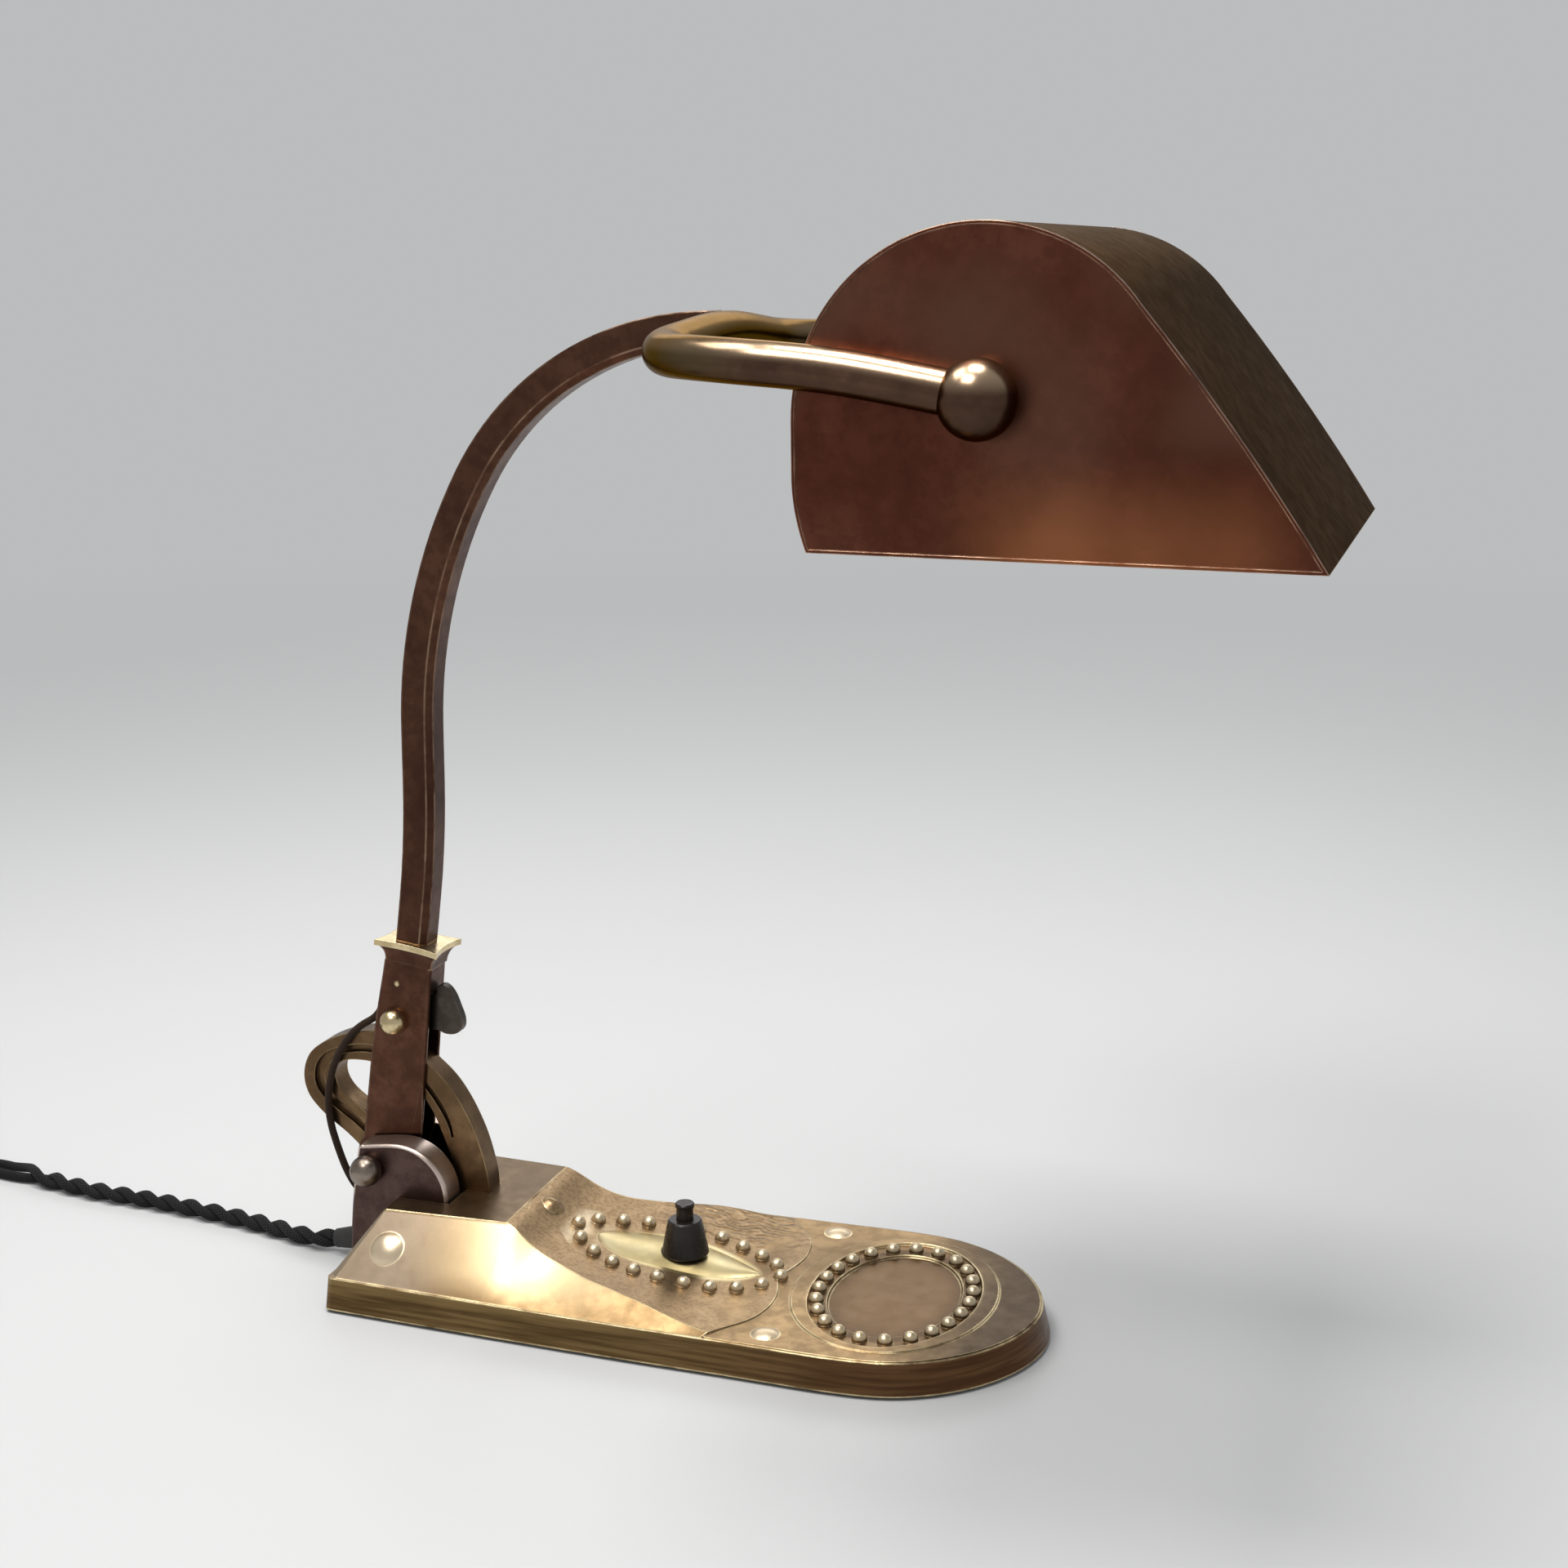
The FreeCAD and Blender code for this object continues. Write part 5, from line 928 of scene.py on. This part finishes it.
bar_brass = patina("bar_brass", dark=(0.12, 0.072, 0.037), light=(0.235, 0.148, 0.076),
                   rubbed=(0.60, 0.43, 0.23), grime=(0.03, 0.017, 0.010), rough=(0.28, 0.42), wear=0.85,
                   hollow_mm=2.0)
dress(bar_brass, "arch_bar")

post_bronze = patina("post_bronze", dark=(0.058, 0.026, 0.017), light=(0.130, 0.060, 0.038),
                     rubbed=(0.46, 0.31, 0.21), grime=(0.02, 0.010, 0.008), rough=(0.28, 0.42), cloud_mm=40,
                     edge_mm=1.1, wear=0.8)
dress(post_bronze, "post", "arm")
print("hinge and upright done")

# %% [markdown]
# ## The fork
# The fork is where a hand takes the lamp to move it. Its top is painted lighter as a highlight and its
# underside painted dark as shade, while the bend by the arm is olive with less of the painted highlight.
# An edge mask would miss this, because a round bar has no edges. The direction that the surface faces in
# shows which side is up.

# %% Fork
FORK_OLIVE = (0.115, 0.088, 0.046)
# Painted shade under the fork
FORK_UNDERSIDE_SHADE = (0.045, 0.026, 0.018)
# Painted highlight on the fork's top
FORK_TOP_HIGHLIGHT = (0.54, 0.395, 0.265)


def fork_colours(tree, where, colour):
    """A painted highlight on top, painted shade underneath, and olive at the bend by the arm."""
    bend = within(tree, where, ("x", 62, 40))
    upward = facing(tree)[2]
    colour = tinted(tree, colour, FORK_OLIVE, bend, 0.75)
    # Painted shade on the underside.
    colour = tinted(tree, colour, FORK_UNDERSIDE_SHADE, mask(tree, upward, 0.05, -0.55), 0.7)
    # A painted highlight on the top, weaker at the bend.
    highlight_share = calc(tree, "MULTIPLY_ADD", bend, -0.5, 0.85)
    return tinted(tree, colour, FORK_TOP_HIGHLIGHT, mask(tree, upward, 0.10, 0.65), highlight_share)


fork_brass = patina("fork_brass", dark=(0.085, 0.046, 0.030), light=(0.170, 0.096, 0.062),
                    rubbed=(0.58, 0.44, 0.29), grime=(0.035, 0.02, 0.014), rough=(0.20, 0.28), cloud_mm=30,
                    wear=0.6, cast=0.02, sheen_tint=(0.56, 0.45, 0.34), recolour=fork_colours)
dress(fork_brass, "fork_yoke", "fork_ball_near", "fork_ball_far")
print("fork done")

# %% [markdown]
# ## Small metal pieces
# The collar, the pins and the nuts are almost clean brass, and the lever is nearly black. The screws,
# the springs and the weight inside the foot are steel and iron. The patina graph covers them as well,
# with a shallow relief for turned pieces and a deep one for raw iron.

# %% Lever, bright brass and strap
lever_bronze = patina("lever_bronze", dark=(0.050, 0.040, 0.034), light=(0.090, 0.074, 0.062),
                      rubbed=(0.32, 0.27, 0.21), grime=(0.025, 0.018, 0.014), rough=(0.28, 0.42), wear=0.7)
dress(lever_bronze, "latch_lever")

bright_brass = patina("bright_brass", dark=(0.56, 0.44, 0.24), light=(0.78, 0.64, 0.39),
                      rubbed=(0.94, 0.81, 0.54), grime=(0.14, 0.085, 0.04), rough=(0.20, 0.32), cloud_mm=9,
                      edge_mm=0.4, wear=0.8, hollow_mm=2.0, cast=0.02)
dress(bright_brass, "post_collar", "latch_pin", "latch_pin_nut", "stop_pin", "shade_studs",
      "shade_washers", "shade_nuts", "lampholder", "holder_nut", "pivot_washers", "terminal_screws")

strap_brass = patina("strap_brass", dark=(0.36, 0.25, 0.11), light=(0.50, 0.36, 0.17),
                     rubbed=(0.80, 0.64, 0.36), grime=(0.10, 0.06, 0.03), rough=(0.26, 0.38), cloud_mm=12,
                     wear=0.6)
dress(strap_brass, "socket_strap", "strap_rivets")
print("small brass pieces done")

# %% Steel, iron, plug pins and bulb cap
steel = patina("steel", dark=(0.42, 0.41, 0.39), light=(0.56, 0.55, 0.53), rubbed=(0.75, 0.74, 0.72),
               grime=(0.12, 0.11, 0.10), rough=(0.28, 0.42), cloud_mm=14, wear=0.5)
dress(steel, "bottom_plate", "bottom_screws", "bracket_screws", "arch_screw")
coat(steel, latch_coil, button_coil)

iron = patina("iron", dark=(0.12, 0.11, 0.10), light=(0.19, 0.175, 0.16), rubbed=(0.34, 0.32, 0.30),
              grime=(0.04, 0.03, 0.025), rough=(0.50, 0.70), cloud_mm=10, wear=0.4, cast=0.25)
dress(iron, "ballast")

pin_metal = patina("pin_metal", dark=(0.62, 0.60, 0.56), light=(0.72, 0.70, 0.66),
                   rubbed=(0.82, 0.80, 0.74), grime=(0.3, 0.28, 0.25), rough=(0.18, 0.30), cloud_mm=8,
                   wear=0.4, cast=0.01)
dress(pin_metal, "plug_pins")

bulb_metal = patina("bulb_metal", dark=(0.66, 0.65, 0.62), light=(0.76, 0.75, 0.72),
                    rubbed=(0.85, 0.84, 0.8), grime=(0.3, 0.29, 0.27), rough=(0.28, 0.40), cloud_mm=8,
                    wear=0.4, cast=0.02)
dress(bulb_metal, "bulb_cap")
coat(bulb_metal, wires)
print("other small metal pieces done")

# %% [markdown]
# ## The shade
# The shade is brass sheet with a copper-red patina. It is blotchy where it was wiped, and turns more
# orange towards the low front corner, where large soft noise breaks up the tones. The rolled sheet
# between the caps is a darker olive brown.

# %% Shade finishes
CAP_SMOKE = (0.168, 0.082, 0.054)
CAP_ORANGE = (0.56, 0.205, 0.080)
SMOKE_MM = 60
WIPED_MM = 46


def cap_colours(tree, where, colour):
    """Smoky blotches, and a wiped orange patch low down towards the front."""
    smoky = mask(tree, speckle(tree, where, SMOKE_MM, 2.0, 0.5, 0.43), 0.46, 0.60)
    colour = tinted(tree, colour, CAP_SMOKE, smoky, 0.6)
    low = within(tree, where, ("z", 348, 316), ("x", 112, 166), ("x", 236, 206))
    wiped = mask(tree, speckle(tree, where, WIPED_MM, 3.0, 0.5, 0.71), 0.36, 0.62)
    return tinted(tree, colour, CAP_ORANGE, low, calc(tree, "ADD", 0.32, times(tree, wiped, 0.45)))


cap_copper = patina("cap_copper", dark=(0.098, 0.031, 0.019), light=(0.170, 0.056, 0.034),
                    rubbed=(0.66, 0.42, 0.28), grime=(0.03, 0.013, 0.010), rough=(0.30, 0.42), cloud_mm=38,
                    edge_mm=0.5, hollow_mm=2.0, wear=1.0, recolour=cap_colours)
dress(cap_copper, "shade_cap_near", "shade_cap_far")

sheet_brown = patina("sheet_brown", dark=(0.060, 0.043, 0.026), light=(0.105, 0.075, 0.045),
                     rubbed=(0.40, 0.30, 0.18), grime=(0.02, 0.014, 0.009), rough=(0.32, 0.46), cloud_mm=44,
                     edge_mm=0.5, wear=0.8, sheen_tint=(0.30, 0.23, 0.15))
dress(sheet_brown, "shade_sheet")
print("shade done")

# %% [markdown]
# ## Black mouldings
# The switch is hard black resin: glossy, with fine scratches in the gloss and greyed edges. A clear
# coat over a black base would shine too evenly. A plain shader is enough, with its roughness driven by
# thin noise.

# %% The moulded parts
def moulding(name, tone, edge_tone, rough=(0.18, 0.34)):
    """Black resin or rubber, greyer along its edges and dusty in its corners."""
    material, tree, where = graph(name)
    edge, hollow, rounded = edge_and_hollow(tree, 0.4, 1.5)
    clouds = mask(tree, speckle(tree, where, 8, 4.0, 0.6), 0.35, 0.65)
    colour = between(tree, clouds, tone, [c * 1.7 + 0.002 for c in tone])
    colour = tinted(tree, colour, edge_tone, edge, 0.5)
    colour = tinted(tree, colour, (0.02, 0.016, 0.012), hollow, 0.4)
    scratched = speckle(tree, where, 1.2, 5.0, 0.7, 0.4)
    surface(tree, {"Base Color": colour, "Roughness": spread(tree, scratched, 0.35, 0.65, *rough),
                   "Specular IOR Level": 0.35, "Normal": bumped(tree, scratched, 0.02, 0.6, rounded)})
    return material


switch_black = moulding("switch_black", (0.009, 0.006, 0.005), (0.040, 0.034, 0.030))
dress(switch_black, "switch_body", "switch_cone", "switch_button", "terminal_block", "cord_grip",
      "holder_insulator", "mains_plug")
bush_rubber = moulding("bush_rubber", (0.016, 0.015, 0.015), (0.05, 0.048, 0.045), (0.45, 0.6))
dress(bush_rubber, "cord_bush")
print("mouldings done")

# %% [markdown]
# ## Woven covers
# A braided cover is two sets of threads that cross in diamonds. Modelled threads would take millions of
# faces on a cord this long. With a UV map that counts round and along the tube in one unit, two slanted
# waves give the two sets, and the higher of the two is the thread on top. The gaps between the threads
# are painted darker as shade.

# %% Braid
def braid(name, tone, thread, rough, carriers=8):
    """A braided cloth cover, painted darker as shade in the gaps between threads, lighter where worn."""
    material, tree, place = graph(name)
    where = add(tree, "UVMap", uv_map="around").outputs["UV"]
    along, around, _ = parts_of(tree, where)
    turn = 2 * math.pi * carriers
    one = calc(tree, "SINE", times(tree, calc(tree, "ADD", along, around), turn))
    two = calc(tree, "SINE", times(tree, calc(tree, "SUBTRACT", along, around), turn))
    level = mask(tree, calc(tree, "MAXIMUM", one, two), 0.2, 1.0)
    fluff = speckle(tree, place, 1.1, 4.0, 0.7)
    worn = mask(tree, speckle(tree, place, 22, 3.0, 0.5, 0.2), 0.35, 0.65)
    # Painted shade in the gaps between the threads on top.
    colour = between(tree, level, darker(tone, 0.45), tone)
    colour = tinted(tree, colour, thread, level, worn, 0.6)
    relief = calc(tree, "ADD", level, times(tree, fluff, 0.5))
    surface(tree, {"Base Color": colour, "Roughness": rough, "Sheen Weight": 0.05, "Sheen Roughness": 0.5,
                   "Specular IOR Level": 0.12, "Normal": bumped(tree, relief, 0.18, 0.9)})
    return material


coat(braid("cord_cloth", (0.015, 0.014, 0.015), (0.036, 0.034, 0.036), 0.85), mains_cord)
coat(braid("lead_cover", (0.036, 0.019, 0.011), (0.072, 0.040, 0.023), 0.6), tilt_lead, shade_lead)
print("braids done")

# %% Felt and the covers inside the metal
def felted(name, tone, light):
    """Matted fibres with a soft sheen, in slightly uneven patches."""
    material, tree, where = graph(name)
    fibres = speckle(tree, where, 0.8, 6.0, 0.75)
    patches = mask(tree, speckle(tree, where, 14, 4.0, 0.6, 0.3), 0.3, 0.7)
    colour = between(tree, mask(tree, fibres, 0.35, 0.65), tone, light)
    colour = tinted(tree, colour, darker(tone, 0.7), patches, 0.4)
    surface(tree, {"Base Color": colour, "Roughness": 0.95, "Sheen Weight": 0.5, "Sheen Roughness": 0.6,
                   "Normal": bumped(tree, fibres, 0.2)})
    return material


def cover_inside(name, tone):
    """A plain woven cover for leads that stay inside the metal, painted darker as shade in its grooves."""
    material, tree, where = graph(name)
    threads = {"Vector": where, "Scale": 420.0, "Distortion": 3.0, "Detail": 2.0}
    weave = add(tree, "TexWave", threads).outputs["Fac"]
    # Painted shade in the grooves of the weave.
    colour = between(tree, weave, darker(tone, 0.5), tone)
    surface(tree, {"Base Color": colour, "Roughness": 0.8, "Normal": bumped(tree, weave, 0.1, 0.7)})
    return material


coat(felted("felt", (0.030, 0.075, 0.042), (0.055, 0.125, 0.072)), felt)
dress(cover_inside("inner_cover", (0.06, 0.04, 0.03)), "base_wiring", "arm_wiring")
print("felt and inner covers done")

# %% [markdown]
# ## Glass
# The bulb is a thin clear shell. Glass is mostly seen by what it bends. A see-through colour would lose
# that, so it has full transmission, a low roughness, and only the faintest unevenness.

# %% The bulb
def glass(name):
    """Clear glass with a little dust on it."""
    material, tree, where = graph(name)
    dust = speckle(tree, where, 6, 5.0, 0.7)
    tone = between(tree, mask(tree, dust, 0.3, 0.8), (0.97, 0.97, 0.95), (0.90, 0.90, 0.86))
    surface(tree, {"Base Color": tone, "Roughness": spread(tree, dust, 0.3, 0.7, 0.01, 0.07), "IOR": 1.45,
                   "Transmission Weight": 1.0, "Normal": bumped(tree, dust, 0.03, 0.4)})
    return material


bulb_glass = glass("bulb_glass")
dress(bulb_glass, "bulb_glass")
coat(bulb_glass, stem)
print("glass done")

# %% [markdown]
# ## Floor and light
# A plain pale floor keeps the lamp's shadow, and fades into the backdrop's tone far away, so that no
# horizon shows. One soft lamp hangs almost straight above, as the shade's shadow beside the foot shows.
# A second one, in front and above, gives the fork its long gleam and throws the fainter shadow that falls
# away behind the lamp. Metal is lit by what it reflects, so two more are placed for that: one at the
# upper left, which the near slope of the foot reflects, and a long one behind, which its level tops
# reflect. A pale world lights the rest.

# %% Floor
HALF_FLOOR = 6.0
FLOOR_DROP = 0.0003
BACKDROP = (0.50, 0.505, 0.51)
floor_mesh = bpy.data.meshes.new("floor")
corners = [(-HALF_FLOOR, -HALF_FLOOR, 0), (HALF_FLOOR, -HALF_FLOOR, 0), (HALF_FLOOR, HALF_FLOOR, 0),
           (-HALF_FLOOR, HALF_FLOOR, 0)]
floor_mesh.from_pydata(corners, [], [(0, 1, 2, 3)])
floor = in_scene("floor", floor_mesh)
floor.location.z = -FLOOR_DROP
floor_paint, tree, floor_where = graph("floor_paint")
floor_tone = between(tree, speckle(tree, floor_where, 300, 3.0), (0.56, 0.57, 0.58), (0.60, 0.61, 0.62))
floor_shader = add(tree, "BsdfPrincipled", {"Base Color": floor_tone, "Roughness": 0.55})
far_glow = add(tree, "Emission", {"Color": rgb(BACKDROP), "Strength": 1.0})
away = add(tree, "VectorMath", {0: floor_where}, operation="LENGTH").outputs["Value"]
ray = add(tree, "LightPath")
seen = calc(tree, "MAXIMUM", ray.outputs["Is Camera Ray"], ray.outputs["Is Glossy Ray"])
seen = calc(tree, "MAXIMUM", seen, ray.outputs["Is Transmission Ray"])
fade = times(tree, seen, mask(tree, away, 0.5, 2.4))
floor_mix = add(tree, "MixShader", {0: fade, 1: floor_shader.outputs[0], 2: far_glow.outputs[0]})
tree.links.new(floor_mix.outputs[0], add(tree, "OutputMaterial").inputs["Surface"])
coat(floor_paint, floor)
print("floor:", 2 * HALF_FLOOR, "m wide")

# %% Lamps
WARM = (1.0, 0.98, 0.95)


def soft_lamp(name, place, target, size, watts, tint):
    """A rectangle of light that faces its target."""
    data = bpy.data.lights.new(name, "AREA")
    data.shape = "RECTANGLE"
    data.size, data.size_y = size
    data.energy = watts
    data.color = tint
    made = in_scene(name, data)
    made.location = place
    made.rotation_euler = (Vector(target) - Vector(place)).to_track_quat("-Z", "Y").to_euler()
    print(name, "lamp:", watts, "W")


soft_lamp("overhead", (0.04, 0.06, 1.5), (0.04, 0.06, 0.0), (0.42, 0.36), 11.0, WARM)
soft_lamp("upper_left", (-0.66, -0.03, 1.45), (-0.05, -0.05, 0.0), (0.60, 0.50), 5.6, (1.0, 0.98, 0.94))
soft_lamp("front", (-0.24, -0.68, 1.46), (0.0, 0.0, 0.1), (0.56, 0.44), 9.0, WARM)
soft_lamp("behind", (-0.45, 1.85, 1.25), (0.0, 0.0, 0.05), (1.8, 0.7), 7.0, (1.0, 0.99, 0.97))

# %% World
ZENITH = (0.40, 0.40, 0.40)
world = bpy.data.worlds.new("world")
bpy.context.scene.world = world
world.use_nodes = True
sky = world.node_tree
sky.nodes.clear()
sky_height = parts_of(sky, add(sky, "TexCoord").outputs["Generated"])[2]
sky_tone = between(sky, mask(sky, sky_height, 0.25, 0.8), BACKDROP, ZENITH)
backdrop = add(sky, "Background", {"Color": sky_tone, "Strength": 1.0})
sky.links.new(backdrop.outputs[0], add(sky, "OutputWorld").inputs["Surface"])
bpy.context.scene.view_settings.view_transform = "Standard"
print("world tones:", BACKDROP, "to", ZENITH)
